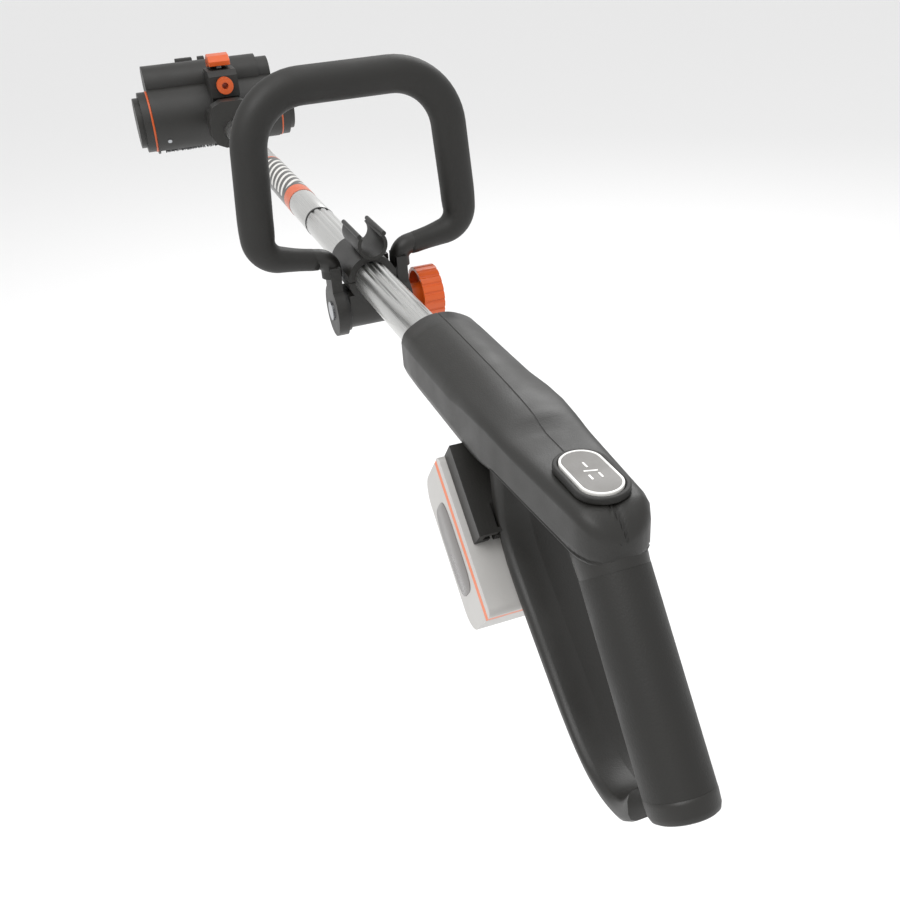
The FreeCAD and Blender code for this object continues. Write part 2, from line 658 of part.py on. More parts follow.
def knob_parts():
    y0 = -(LUG_W + WASHER_T + 0.2 + LEG_T)
    hub = rod_y(HUB_R, y0 - 9, y0 - 0.3, PIVOT_X, PIVOT_Z)
    wheel = rod_y(KNOB_R, y0 - 9 - KNOB_T, y0 - 9, PIVOT_X, PIVOT_Z)
    wheel = wheel.cut(rod_y(KNOB_R - 3, y0 - 17, y0 - 8, PIVOT_X, PIVOT_Z))
    hub = fuse([wheel, rod_y(HUB_R, y0 - 18, y0 - 0.3, PIVOT_X, PIVOT_Z)])
    notches = []
    for i in range(20):
        a = 2 * math.pi * i / 20
        notches.append(rod_y(1.5, y0 - 9 - KNOB_T - 1, y0, PIVOT_X + (KNOB_R + 0.6) * math.cos(a), PIVOT_Z + (KNOB_R + 0.6) * math.sin(a)))
    knob = hub.cut(Part.makeCompound(notches))
    knob = knob.cut(rod_y(BOLT_R + RUN, y0 - 14, y0 + 1, PIVOT_X, PIVOT_Z))
    end = -y0
    bolt = fuse([rod_y(BOLT_R, y0 - 13.5, end - 4, PIVOT_X, PIVOT_Z), rod_y(8.0, end - 4, end + 1.5, PIVOT_X, PIVOT_Z)])
    return knob, bolt


# ---- head ---------------------------------------------------------------------------------------
def idler_place():
    near = MODULE * (PINION_TEETH + IDLER_TEETH) / 2
    far = MODULE * (IDLER_TEETH + ROLLER_TEETH) / 2
    dx = MOTOR_X - ROLLER_X
    dz = MOTOR_Z - ROLLER_Z
    span = math.hypot(dx, dz)
    along = (far ** 2 - near ** 2 + span ** 2) / (2 * span)
    side = math.sqrt(far ** 2 - along ** 2)
    return (ROLLER_X + (along * dx + side * dz) / span, ROLLER_Z + (along * dz - side * dx) / span)


def gear_at(teeth, x, z, turn):
    gear = involute_gear(teeth, MODULE, GEAR_T, turn)
    gear.translate(V(x, GEAR_Y, z))
    return gear


def next_turn(turn, teeth, mate_teeth, angle):
    """Turn of the mating gear, so that its gap meets this gear's tooth along the line at angle."""
    step = 2 * math.pi / teeth
    behind = (angle - turn) % step
    return angle + math.pi + behind * teeth / mate_teeth + math.pi / mate_teeth


def gear_turns():
    ix, iz = idler_place()
    to_idler = math.atan2(iz - MOTOR_Z, ix - MOTOR_X)
    to_roller = math.atan2(ROLLER_Z - iz, ROLLER_X - ix)
    idler = next_turn(to_idler, PINION_TEETH, IDLER_TEETH, to_idler)
    roller = next_turn(idler, IDLER_TEETH, ROLLER_TEETH, to_roller)
    return to_idler, idler, roller


def lobes(lower, upper, y0, y1):
    """Solid silhouette of the two lobes of the hood."""
    web = [(LOBE_X - 20, LOBE_Z + 26), (MOTOR_X - 19, MOTOR_Z + 8), (MOTOR_X + 16, MOTOR_Z - 4), (LOBE_X + 30, LOBE_Z + 20)]
    shapes = [rod_y(lower, y0, y1, LOBE_X, LOBE_Z), rod_y(upper, y0, y1, MOTOR_X, MOTOR_Z)]
    return fuse(shapes + [slab_xz(web, y0, y1)])


def mouth(y0, y1):
    """The open side of the hood, towards the ground."""
    points = [(LOBE_X, LOBE_Z)]
    for degrees in (-124, -80, -40, 0, 22):
        a = math.radians(degrees)
        points.append((LOBE_X + 90 * math.cos(a), LOBE_Z + 90 * math.sin(a)))
    return slab_xz(points, y0, y1)


def hood():
    y0 = HEAD_RIGHT
    y1 = HEAD_LEFT
    outer = lobes(LOBE_R, UPPER_R, y0, y1)
    inner = rod_y(LOBE_R - LOBE_WALL, y0 - 1, y1 - PLATE_T, LOBE_X, LOBE_Z)
    chamber = tube_y(UPPER_R, MOTOR_BORE, y0, y1, MOTOR_X, MOTOR_Z)
    shell = outer.cut(inner).cut(mouth(y0 - 1, y1 - PLATE_T))
    whole = shell.fuse(chamber.cut(mouth(y0 - 1, y1 - PLATE_T)))
    guard = tube_y(MOTOR_BORE + 2.6, MOTOR_BORE, y0, y1, MOTOR_X, MOTOR_Z)
    whole = whole.fuse(guard).cut(rod_y(MOTOR_BORE, y0 - 1, y1 - PLATE_T, MOTOR_X, MOTOR_Z))
    whole = whole.cut(rod_y(BRUSH_R + BRUSH_GAP, y0 - 1, y1 - PLATE_T, ROLLER_X, ROLLER_Z))
    return whole.cut(rod_y(BEARING_R, y1 - 10, y1 + 1, ROLLER_X, ROLLER_Z)).removeSplitter()


def hood_split():
    """The hood in its two mouldings, left and right of the neck."""
    whole = hood()
    joint = 22.0
    left = whole.common(block(800, 1100, joint, 200, -100, 150))
    right = whole.common(block(800, 1100, -200, joint, -100, 150))
    clear = rod_y(TILT_R + 4, -NECK_W - 20, NECK_W + 20, TILT_X, TILT_Z)
    heads = hood_screws()
    return left.cut(clear).cut(heads), right.cut(clear).cut(heads)


def neck():
    """Knuckle and bracket that carry the hood on the tilt pin."""
    knuckle = rod_y(TILT_R, -NECK_W, NECK_W, TILT_X, TILT_Z)
    body = fuse([knuckle, neck_outer(NECK_W)]).cut(lobes(LOBE_R, UPPER_R, -30, 30))
    body = body.cut(rod_y(5 + RUN, -40, 40, TILT_X, TILT_Z))
    way = slab_xz([(880, 22), (924, 22), (965, 50), (965, 54), (920, 26), (880, 26)], -3.5, 3.5)
    return body.cut(rod_x(4, 880, 900, 0, TILT_Z)).cut(way)


def tube_socket():
    section = [(14, 40), (27, 34), (34, 18), (34, -6), (27, -17), (16, -22)]
    body = section_x(section, SOCKET_X, SOCKET_X + TUBE_IN_SOCKET + 2)
    fork = fuse([rod_y(TILT_R + 1, -FORK_W, FORK_W, TILT_X, TILT_Z), block(SOCKET_X + 10, TILT_X, -FORK_W, FORK_W, TILT_Z - 16, TILT_Z + 16)])
    body = fuse([body, fork])
    gap = block(SOCKET_X + TUBE_IN_SOCKET + 2, 960, -NECK_W - 0.3, NECK_W + 0.3, -60, 90)
    body = body.cut(gap).cut(rod_y(TILT_R + 0.5, -NECK_W - 0.3, NECK_W + 0.3, TILT_X, TILT_Z))
    body = body.cut(rod_x(TUBE_R, SOCKET_X - 1, SOCKET_X + TUBE_IN_SOCKET))
    body = body.cut(rod_x(5, SOCKET_X, 900))
    return body.cut(rod_y(5, -60, 60, TILT_X, TILT_Z))


def tilt_pin():
    return rod_y(5, -FORK_W + 1, FORK_W - 1, TILT_X, TILT_Z)


def boot_parts():
    side = [(BOOT_X, 40), (BOOT_X + 1, 68), (908, 75), (948, 75), (948, 66.8), (936, 66.1), (902, 40)]
    boot = slab_xz(side, -20, 20)
    nipple = rod_x(NIPPLE_R, NIPPLE_X, NIPPLE_X + NIPPLE_FREE, 0, NIPPLE_Z)
    shank = rod_x(NIPPLE_SHANK_R, NIPPLE_X + 2, BOOT_X + 7, 0, NIPPLE_Z)
    nipple = fuse([nipple, shank])
    nipple = nipple.cut(rod_x(NIPPLE_BORE_R, NIPPLE_X - 1, BOOT_X + 4, 0, NIPPLE_Z))
    boot = boot.cut(rod_x(NIPPLE_SHANK_R, BOOT_X - 5, BOOT_X + 7, 0, NIPPLE_Z))
    latch_side = [(914, 80), (912, 86), (920, 93), (934, 95), (946, 90), (951, 82), (949, 76.5), (937, 76.5), (930, 80)]
    latch = slab_xz(latch_side, -LATCH_W, LATCH_W).cut(rod_y(2 + RUN, -30, 30, 943, 82))
    latch = latch.cut(block(936, 952, -LATCH_W + 4, LATCH_W - 4, 70, 86.5))
    latch = latch.cut(block(916, 938, -LATCH_W + 3, LATCH_W - 3, 70, 88))
    post = slab_xz([(938.5, 74), (947.5, 74), (947.5, 79), (945.5, 85.4), (940.5, 85.4), (938.5, 79)], -LATCH_W + 4.5, LATCH_W - 4.5)
    boot = fuse([boot, post]).cut(rod_y(2, -30, 30, 943, 82))
    pin = rod_y(2, -LATCH_W, LATCH_W, 943, 82)
    spring = coil(3.2, 0.6, 5, 13.0)
    spring.translate(V(926, 0, 75))
    return boot, nipple, latch, pin, spring


def neck_outer(half_w):
    """Side shape of the bracket between the tilt pin and the hood."""
    points = [(905, -4), (960, -4), (985, 62), (970, 68), (936, 66), (902, 40), (905, 24)]
    return slab_xz(points, -half_w, half_w)


def gear_case_solid(extra, y0, y1):
    ix, iz = idler_place()
    circles = [(ROLLER_X, ROLLER_Z, 28.5 + extra), (MOTOR_X, MOTOR_Z, 14 + extra), (ix, iz, 22.5 + extra)]
    return fuse([rod_y(r, y0, y1, x, z) for x, z, r in circles])


def gear_case_outer(y0, y1):
    """The gears' case, filled out to the hood's two lobes."""
    lobe = rod_y(LOBE_R, y0, y1, LOBE_X, LOBE_Z).cut(mouth(y0 - 1, y1 + 1))
    upper = rod_y(24, y0, y1, MOTOR_X, MOTOR_Z)
    return fuse([gear_case_solid(3, y0, y1), lobe, upper])


def gear_case():
    y1 = HEAD_RIGHT
    y0 = y1 - CASE_T
    body = gear_case_outer(y0 + PLATE_T, y1)
    cavity = gear_case_solid(0, y0 - 1, y1 - 3.0)
    ix, iz = idler_place()
    body = body.cut(cavity)
    body = body.cut(rod_y(BEARING_R, y1 - 4, y1 + 1, ROLLER_X, ROLLER_Z))
    body = body.cut(rod_y(MOTOR_SHAFT_R + 0.6, y1 - 4, y1 + 1, MOTOR_X, MOTOR_Z))
    post = rod_y(IDLER_SHAFT_R - RUN, y0 + PLATE_T, y1 - 3, ix, iz)
    return fuse([body, post])


def gear_cover():
    y0 = HEAD_RIGHT - CASE_T
    return gear_case_outer(y0, y0 + PLATE_T)


def gears():
    ix, iz = idler_place()
    t0, t1, t2 = gear_turns()
    pinion = gear_at(PINION_TEETH, MOTOR_X, MOTOR_Z, t0)
    pinion = fuse([pinion, rod_y(MOTOR_SHAFT_R, GEAR_Y, -50, MOTOR_X, MOTOR_Z)])
    idler = gear_at(IDLER_TEETH, ix, iz, t1).cut(rod_y(IDLER_SHAFT_R, GEAR_Y - 1, GEAR_Y + 20, ix, iz))
    roller = gear_at(ROLLER_TEETH, ROLLER_X, ROLLER_Z, t2)
    return pinion, idler, roller.cut(rod_y(ROLLER_SHAFT_R, GEAR_Y - 1, GEAR_Y + 20, ROLLER_X, ROLLER_Z))


def brush_parts():
    y0 = HEAD_RIGHT + 2.0
    y1 = HEAD_LEFT - PLATE_T - 6.0
    core = tube_y(BRUSH_CORE_R, ROLLER_SHAFT_R, y0, y1, ROLLER_X, ROLLER_Z)
    tufts = []
    count = 12
    width = (y1 - y0 - 4) / count
    for i in range(count):
        a = y0 + 2 + i * width
        tufts.append(tube_y(BRUSH_R if i % 2 == 0 else BRUSH_R - 2.5, BRUSH_CORE_R, a, a + width, ROLLER_X, ROLLER_Z))
    shaft = rod_y(ROLLER_SHAFT_R, GEAR_Y - 1.5, HEAD_LEFT - 0.5, ROLLER_X, ROLLER_Z)
    return shaft, core, fuse(tufts)


def bearings():
    left = tube_y(BEARING_R, ROLLER_SHAFT_R + RUN, HEAD_LEFT - PLATE_T - 3, HEAD_LEFT, ROLLER_X, ROLLER_Z)
    right = tube_y(BEARING_R, ROLLER_SHAFT_R + RUN, HEAD_RIGHT - 3, HEAD_RIGHT + 1, ROLLER_X, ROLLER_Z)
    return Part.makeCompound([left, right])


def end_cap(side):
    start = HEAD_LEFT if side > 0 else HEAD_RIGHT - CASE_T
    ring = side * GASKET_T
    y0, y1 = sorted((start, start + ring))
    gasket = tube_y(CAP_R + 0.8, CAP_R - 3, y0, y1, LOBE_X, LOBE_Z)
    a = start + ring
    b = start + side * (CAP_T - 8)
    c = start + side * CAP_T
    wide = rod_y(CAP_R, min(a, b), max(a, b), LOBE_X, LOBE_Z)
    step = rod_y(CAP_R - 7, min(b, c), max(b, c), LOBE_X, LOBE_Z)
    plug = rod_y(CAP_R - 3, min(start, a), max(start, a), LOBE_X, LOBE_Z)
    cap = fuse([wide, step, plug])
    hollow = rod_y(CAP_R - 10, min(start - side, c - side * 3), max(start - side, c - side * 3), LOBE_X, LOBE_Z)
    return cap.cut(hollow), gasket


def motor():
    y0 = HEAD_RIGHT + 6
    can = rod_y(MOTOR_R, y0, y0 + MOTOR_LEN, MOTOR_X, MOTOR_Z)
    rings = [tube_y(MOTOR_BORE, MOTOR_R - 1, y, y + 5, MOTOR_X, MOTOR_Z) for y in (y0 + 8, y0 + MOTOR_LEN - 14)]
    return fuse([can] + rings).cut(rod_y(MOTOR_SHAFT_R + RUN, y0 - 1, -48, MOTOR_X, MOTOR_Z))


def bumper():
    """Two dark tabs on the far side of the upper lobe."""
    tabs = []
    for y0, y1 in ((27, 52), (9, 19)):
        side = [(1004, 72), (1009, 83), (1015, 84), (1022, 70), (1018, 62)]
        tabs.append(slab_xz(side, y0, y1).cut(rod_y(UPPER_R, y0 - 1, y1 + 1, MOTOR_X, MOTOR_Z)))
    return Part.makeCompound(tabs)


def hood_screws():
    screws = []
    for y in (87, -50):
        axis = V(math.cos(math.radians(210)), 0, math.sin(math.radians(210)))
        base = V(LOBE_X, y, LOBE_Z) + axis * (LOBE_R - 0.8)
        screws.append(Part.makeCylinder(3.0, 1.6, base, axis))
    return Part.makeCompound(screws)


def main():
    os.makedirs(OUT, exist_ok=True)
    left, right, screws = make_housing()
    save("housing_left", left)
    save("housing_right", right)
    save("housing_screws", screws)
    save("grip_sleeve", grip_sleeve())
    bezel, ring, plate = speed_button()
    save("button_base", bezel)
    save("button_ring", ring)
    save("button_plate", plate)
    lever, pin, spring = trigger_parts()
    save("trigger", lever)
    save("trigger_pin", pin)
    save("trigger_spring", spring)
    save("lock_off_button", lock_off_button())
    save("control_board", fuse([control_board(), board_posts()]))
    save("battery_receiver", receiver())
    save("terminal_block", terminal_block())
    upper, lower, band, latch, cells = battery_parts()
    save("battery_case_upper", upper)
    save("battery_case_lower", lower)
    save("battery_band", band)
    save("battery_latch", latch)
    save("battery_cells", cells)
    upper, lower, spigot, ring, bands, label, lead = tube_parts()
    save("upper_tube", upper)
    save("lower_tube", lower)
    save("tube_coupler", spigot)
    save("joint_ring", ring)
    save("tube_bands", bands)
    save("label_sleeve", label)
    save("motor_lead", lead)
    upper, lower, screws = clamp_parts()
    save("clamp_upper", upper)
    save("clamp_lower", lower)
    save("clamp_screws", screws)
    save("handle_washers", washers())
    frame, grip = front_handle()
    save("handle_frame", frame)
    save("handle_grip", grip)
    knob, bolt = knob_parts()
    save("handle_knob", knob)
    save("handle_bolt", bolt)
    save("tube_socket", tube_socket())
    save("tilt_pin", tilt_pin())
    save("neck", neck())
    boot, nipple, latch, pin, spring = boot_parts()
    save("nipple_boot", boot)
    save("hose_nipple", nipple)
    save("tilt_latch", latch)
    save("latch_pin", pin)
    save("latch_spring", spring)
    left, right = hood_split()
    save("hood_left", left)
    save("hood_right", right)
    save("hood_screws", hood_screws())
    save("hood_tabs", bumper())
    save("gear_case", gear_case())
    save("gear_cover", gear_cover())
    pinion, idler, roller = gears()
    save("motor_pinion", pinion)
    save("idler_gear", idler)
    save("roller_gear", roller)
    shaft, core, tufts = brush_parts()
    save("roller_shaft", shaft)
    save("brush_core", core)
    save("brush_bristles", tufts)
    save("shaft_bearings", bearings())
    for side, name in ((1, "left"), (-1, "right")):
        cap, gasket = end_cap(side)
        save("end_cover_" + name, cap)
        save("gasket_" + name, gasket)
    save("motor", motor())


main()
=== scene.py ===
import math
import random

import bmesh
import bpy
from mathutils import Matrix, Vector


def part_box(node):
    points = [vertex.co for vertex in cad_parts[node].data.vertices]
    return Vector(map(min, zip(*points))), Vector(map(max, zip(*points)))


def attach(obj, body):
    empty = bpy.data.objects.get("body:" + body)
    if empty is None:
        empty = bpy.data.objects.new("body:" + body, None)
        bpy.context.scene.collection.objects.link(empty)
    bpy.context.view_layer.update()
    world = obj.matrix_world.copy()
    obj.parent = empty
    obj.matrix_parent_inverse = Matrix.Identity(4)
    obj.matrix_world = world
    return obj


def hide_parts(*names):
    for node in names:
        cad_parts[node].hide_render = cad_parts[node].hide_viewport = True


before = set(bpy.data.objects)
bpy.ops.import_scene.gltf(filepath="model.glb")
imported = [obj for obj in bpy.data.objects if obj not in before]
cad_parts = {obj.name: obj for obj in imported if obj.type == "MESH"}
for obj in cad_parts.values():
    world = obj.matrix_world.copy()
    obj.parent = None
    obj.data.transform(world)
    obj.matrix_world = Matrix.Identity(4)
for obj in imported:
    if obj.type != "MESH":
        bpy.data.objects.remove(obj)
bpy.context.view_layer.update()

bl_info = {
    "name": "Pole patio cleaner",
    "version": (1, 0, 0),
    "blender": (4, 5, 0),
    "location": "3D View > Sidebar > Patio Cleaner",
    "description": "Finishes and fine pieces of a cordless roller-brush patio cleaner on a pole",
    "category": "Object",
}

RIM_X = 283.0  # front rim of the rear housing, forward of the rear grip
TUBE_Z = 60.0  # tube axis above the rear grip
# Sizes in mm, angles in degrees, places as at() takes them.
TUBE_R = 15.0
TUBE_BORE_R = 13.8
TUBE_SIDES = 160
TUBE_END_STEP = 0.3  # how much the tube's end is turned down at the joint
FLUTE_HALF = 8.5  # half of the angle that one flute takes up
UPPER_FLUTES = (62, 90, 118)
LOWER_FLUTES = (215, 325)
SOCKET_CLEAR = 0.05  # gap between the tube and the rear shell's bore
SEAM_DEPTH = 0.9
SEAM_HALF = 0.45
SIDE_SEAM = (-3.9, -2.6)
GRIP_MIDDLE = (-283, 0, -60)
GRIP_LEAN = 38.3
GRIP_BACK = -1.5  # the grip's section sits this far behind its axis
PACK_TOP = (-87, 0, -32)
PACK_LEAN = 49.0
LABEL_PLACE = (24.0, 36.9, -52.0)  # middle of the left label, from the top of the battery
LABEL_HALF = (15.5, 30.0)
PIVOT_X = 186
BAR_R = 9.1
GRIP_SWELL = 5.3  # how much thicker the loop's grip is than its bar
ROLLER = (977, 0, -6)
FLOOR_Z = -0.62  # metres
FLOOR_REACH = 60


def at(x, y=0.0, z=0.0):
    """A point measured in mm from the housing's front rim on the tube axis, as the scene's metres."""
    return Vector(((x + RIM_X) / 1000, y / 1000, (z + TUBE_Z) / 1000))


# ---- settings a user would change -------------------------------------------------------------
class CleanerSizes(bpy.types.PropertyGroup):
    fine_edge: bpy.props.FloatProperty(
        name="Fine edge", description="Radius on the edges of small pieces",
        default=0.0005, unit="LENGTH", subtype="DISTANCE")
    flute_depth: bpy.props.FloatProperty(
        name="Flute depth", description="Depth of the flutes pressed into the tube",
        default=0.0011, unit="LENGTH", subtype="DISTANCE")
    bristle_rows: bpy.props.IntProperty(
        name="Bristle rows", description="Rows of tufts along the roller brush", default=30, min=6, max=60)
    tufts_per_row: bpy.props.IntProperty(
        name="Tufts per row", description="Tufts round the roller brush in each row",
        default=34, min=8, max=80)


class CleanerColours(bpy.types.PropertyGroup):
    housing: bpy.props.StringProperty(
        name="Housing", description="Dark moulded plastic, sRGB hex", default="1A1916")
    rubber: bpy.props.StringProperty(
        name="Rubber", description="Soft grip, sRGB hex", default="171613")
    accent: bpy.props.StringProperty(
        name="Accent", description="Orange plastic, sRGB hex", default="C9520F")
    aluminium: bpy.props.StringProperty(
        name="Tube", description="Anodised aluminium, sRGB hex", default="D4D4D2")
    # The default grey is paler than the real case; painted glare lightens it.
    pack: bpy.props.StringProperty(
        name="Battery", description="Battery case lightened by painted glare, sRGB hex", default="B7B5B2")


# ---- materials --------------------------------------------------------------------------------
def linear(code):
    """sRGB hex to a linear colour."""
    parts = [int(code[i:i + 2], 16) / 255 for i in (0, 2, 4)]
    return tuple(c / 12.92 if c <= 0.04045 else ((c + 0.055) / 1.055) ** 2.4 for c in parts) + (1.0,)


def node(tree, kind, settings=None, links=None):
    """Adds one shader node, with its settings and the links into it."""
    made = tree.nodes.new(kind)
    for key, value in (settings or {}).items():
        if isinstance(key, int) or key in made.inputs.keys():
            made.inputs[key].default_value = value
        else:
            setattr(made, key, value)
    for key, source in (links or {}).items():
        tree.links.new(source, made.inputs[key])
    return made


def start(name):
    """A new material with its node tree, its shader and the object's own coordinates."""
    material = bpy.data.materials.new(name)
    material.use_nodes = True
    tree = material.node_tree
    shader = tree.nodes["Principled BSDF"]
    place = node(tree, "ShaderNodeTexCoord").outputs["Object"]
    return material, tree, shader, place


def ramp(tree, source, stops):
    """A colour ramp on a source; stops are position and colour."""
    made = node(tree, "ShaderNodeValToRGB", links={"Fac": source})
    made.color_ramp.elements[0].position, made.color_ramp.elements[0].color = stops[0]
    made.color_ramp.elements[1].position, made.color_ramp.elements[1].color = stops[-1]
    for position, colour in stops[1:-1]:
        made.color_ramp.elements.new(position).color = colour
    return made.outputs["Color"]


def moulded(name, code, rough, grain_mm, relief, ior=1.53, coat=0.0, mottling=0.12):
    """Moulded plastic or rubber: fine spark-eroded grain, slight mottling and a roughness that wanders."""
    material, tree, shader, place = start(name)
    shade = linear(code)
    darker = tuple(c * (1 - mottling) for c in shade[:3]) + (1.0,)
    lighter = tuple(min(1.0, c * (1 + mottling)) for c in shade[:3]) + (1.0,)
    mottle = {"Scale": 1000 / 55.0, "Detail": 5.0, "Roughness": 0.6}
    cloud = node(tree, "ShaderNodeTexNoise", mottle, {"Vector": place})
    colour = ramp(tree, cloud.outputs["Fac"], [(0.35, darker), (0.65, lighter)])
    tree.links.new(colour, shader.inputs["Base Color"])
    handled = node(tree, "ShaderNodeTexNoise", {"Scale": 1000 / 28.0, "Detail": 4.0}, {"Vector": place})
    limits = {"From Min": 0.3, "From Max": 0.7, "To Min": rough - 0.05, "To Max": rough + 0.06}
    spread = node(tree, "ShaderNodeMapRange", limits, {"Value": handled.outputs["Fac"]})
    tree.links.new(spread.outputs["Result"], shader.inputs["Roughness"])
    fine = {"Scale": 1000 / grain_mm, "Detail": 3.0, "Roughness": 0.55}
    grain = node(tree, "ShaderNodeTexNoise", fine, {"Vector": place})
    pits = node(tree, "ShaderNodeTexVoronoi", {"Scale": 1000 / (grain_mm * 1.7)}, {"Vector": place})
    heights = {0: grain.outputs["Fac"], 1: pits.outputs["Distance"]}
    both = node(tree, "ShaderNodeMath", {"operation": "ADD"}, heights)
    depth = {"Strength": relief, "Distance": 0.00012}
    bump = node(tree, "ShaderNodeBump", depth, {"Height": both.outputs[0]})
    tree.links.new(bump.outputs["Normal"], shader.inputs["Normal"])
    shader.inputs["IOR"].default_value = ior
    shader.inputs["Coat Weight"].default_value = coat
    shader.inputs["Coat Roughness"].default_value = 0.15
    return material


def turned_metal(name, code, rough, lines_mm, along, relief=0.25):
    """Metal with the fine lines that drawing or turning leaves, running along one axis."""
    material, tree, shader, place = start(name)
    stretch = [1000 / lines_mm] * 3
    stretch[along] = 1000 / 60.0
    mapped = node(tree, "ShaderNodeMapping", {"Scale": stretch}, {"Vector": place})
    even = {"Scale": 1.0, "Detail": 3.0}
    lines = node(tree, "ShaderNodeTexNoise", even, {"Vector": mapped.outputs["Vector"]})
    shade = linear(code)
    darker = tuple(c * 0.86 for c in shade[:3]) + (1.0,)
    colour = ramp(tree, lines.outputs["Fac"], [(0.3, darker), (0.7, shade)])
    tree.links.new(colour, shader.inputs["Base Color"])
    limits = {"From Min": 0.3, "From Max": 0.7, "To Min": rough - 0.05, "To Max": rough + 0.07}
    spread = node(tree, "ShaderNodeMapRange", limits, {"Value": lines.outputs["Fac"]})
    tree.links.new(spread.outputs["Result"], shader.inputs["Roughness"])
    depth = {"Strength": relief, "Distance": 0.00004}
    bump = node(tree, "ShaderNodeBump", depth, {"Height": lines.outputs["Fac"]})
    tree.links.new(bump.outputs["Normal"], shader.inputs["Normal"])
    shader.inputs["Metallic"].default_value = 1.0
    return material


def slashed_film(name, ground, ink, pitch_mm):
    """Printed film wound on the tube: light slanting strokes on the upper side of a dark ground."""
    material, tree, shader, place = start(name)

    def work(operation, first, second):
        """One step of arithmetic on an output and either a number or another output."""
        if isinstance(second, float):
            return node(tree, "ShaderNodeMath", {"operation": operation, 1: second}, {0: first}).outputs[0]
        return node(tree, "ShaderNodeMath", {"operation": operation}, {0: first, 1: second}).outputs[0]

    parts = node(tree, "ShaderNodeSeparateXYZ", links={"Vector": place})
    lean = work("MULTIPLY", parts.outputs["Y"], 1.15)
    turns = work("MULTIPLY", work("ADD", parts.outputs["X"], lean), 1000 / pitch_mm)
    cycle = node(tree, "ShaderNodeMath", {"operation": "FRACT"}, {0: turns}).outputs[0]
    stroke = work("LESS_THAN", cycle, 0.42)
    upper = work("GREATER_THAN", parts.outputs["Z"], TUBE_Z / 1000 + 0.002)
    near = work("GREATER_THAN", parts.outputs["X"], 0.742)
    far = work("LESS_THAN", parts.outputs["X"], 0.868)
    shown = work("MULTIPLY", upper, work("MULTIPLY", near, far))
    mask = work("MULTIPLY", stroke, shown)
    mix = node(tree, "ShaderNodeMix", {"data_type": "RGBA"})
    tree.links.new(mask, mix.inputs[0])
    mix.inputs[6].default_value = linear(ground)
    mix.inputs[7].default_value = linear(ink)
    tree.links.new(mix.outputs[2], shader.inputs["Base Color"])
    wrinkle = node(tree, "ShaderNodeTexNoise", {"Scale": 1000 / 9.0, "Detail": 2.0}, {"Vector": place})
    depth = {"Strength": 0.08, "Distance": 0.0002}
    bump = node(tree, "ShaderNodeBump", depth, {"Height": wrinkle.outputs["Fac"]})
    tree.links.new(bump.outputs["Normal"], shader.inputs["Normal"])
    shader.inputs["Roughness"].default_value = 0.34
    shader.inputs["Coat Weight"].default_value = 0.25
    return material


FINISH = {}


def make_finishes():
    """Fills FINISH with every material, in the colours set on the scene."""
    colours = bpy.context.scene.cleaner_colours
    # Glass-filled nylon moulding: near-black brown, an even fine grain that breaks up the highlights.
    FINISH["nylon"] = moulded("Nylon, spark-eroded grain", colours.housing, 0.46, 0.55, 0.35)
    # Thermoplastic rubber over the grips: a little darker, softer highlights, a slightly coarser grain.
    FINISH["rubber"] = moulded(
        "Thermoplastic rubber, matt moulded", colours.rubber, 0.56, 0.7, 0.45, ior=1.51)
    # Glossier ABS in orange, almost smooth.
    FINISH["orange"] = moulded(
        "ABS, orange, polished mould", colours.accent, 0.33, 1.2, 0.1, coat=0.15, mottling=0.06)
    # Drawn aluminium tube, clear anodised: pale, satin, with lines along its length.
    FINISH["tube"] = turned_metal("Aluminium tube, drawn and anodised", colours.aluminium, 0.3, 0.35, 0)
    # Film round the tube: dark, with pale slanting strokes and a faint wrinkle.
    FINISH["film"] = slashed_film("Printed film", "33322F", "D9D7D2", 17.0)
    # Battery: grey case and orange band, both made paler with painted glare that washes the pack out, and a
    # plain darker label, smooth to the touch.
    FINISH["pack"] = moulded(
        "Polycarbonate, grey lightened by painted glare", colours.pack, 0.42, 0.6, 0.18, ior=1.58, mottling=0.04)
    FINISH["pack_band"] = moulded("ABS, orange lightened by painted glare", "DB6A32", 0.38, 1.2, 0.1, mottling=0.05)
    FINISH["pack_label"] = moulded("Printed polyester label", "6A6664", 0.3, 2.0, 0.05, mottling=0.03)
    # Button: white acetal ring and a mid-grey cap.
    FINISH["white"] = moulded("Acetal, white", "E9E8E4", 0.3, 1.5, 0.05, mottling=0.02)
    FINISH["cap"] = moulded("ABS, warm grey", "57544F", 0.36, 0.8, 0.15)
    # Small dark pieces, a little harder and glossier than the housing.
    FINISH["black"] = moulded("Acetal, black", "171716", 0.42, 0.8, 0.15)
    # Plated steel: bluish grey, bright, with the lines left by turning.
    FINISH["zinc"] = turned_metal("Steel, zinc plated", "AEB0B3", 0.28, 0.25, 1)
    # Gears in undyed nylon: cream, waxy.
    FINISH["natural"] = moulded("Nylon, natural", "D8D2C0", 0.45, 0.9, 0.1, mottling=0.04)
    # Bristles: near black with a bluish sheen.
    FINISH["bristle"] = moulded("Nylon bristle", "2A2B2D", 0.4, 0.5, 0.1)
    # Circuit board: green lacquer.  Cells: glossy blue film.
    FINISH["board"] = moulded("Lacquered board", "1F4D2C", 0.35, 1.0, 0.05)
    FINISH["wrap"] = moulded("Shrink film", "3C6FA8", 0.3, 2.0, 0.05)


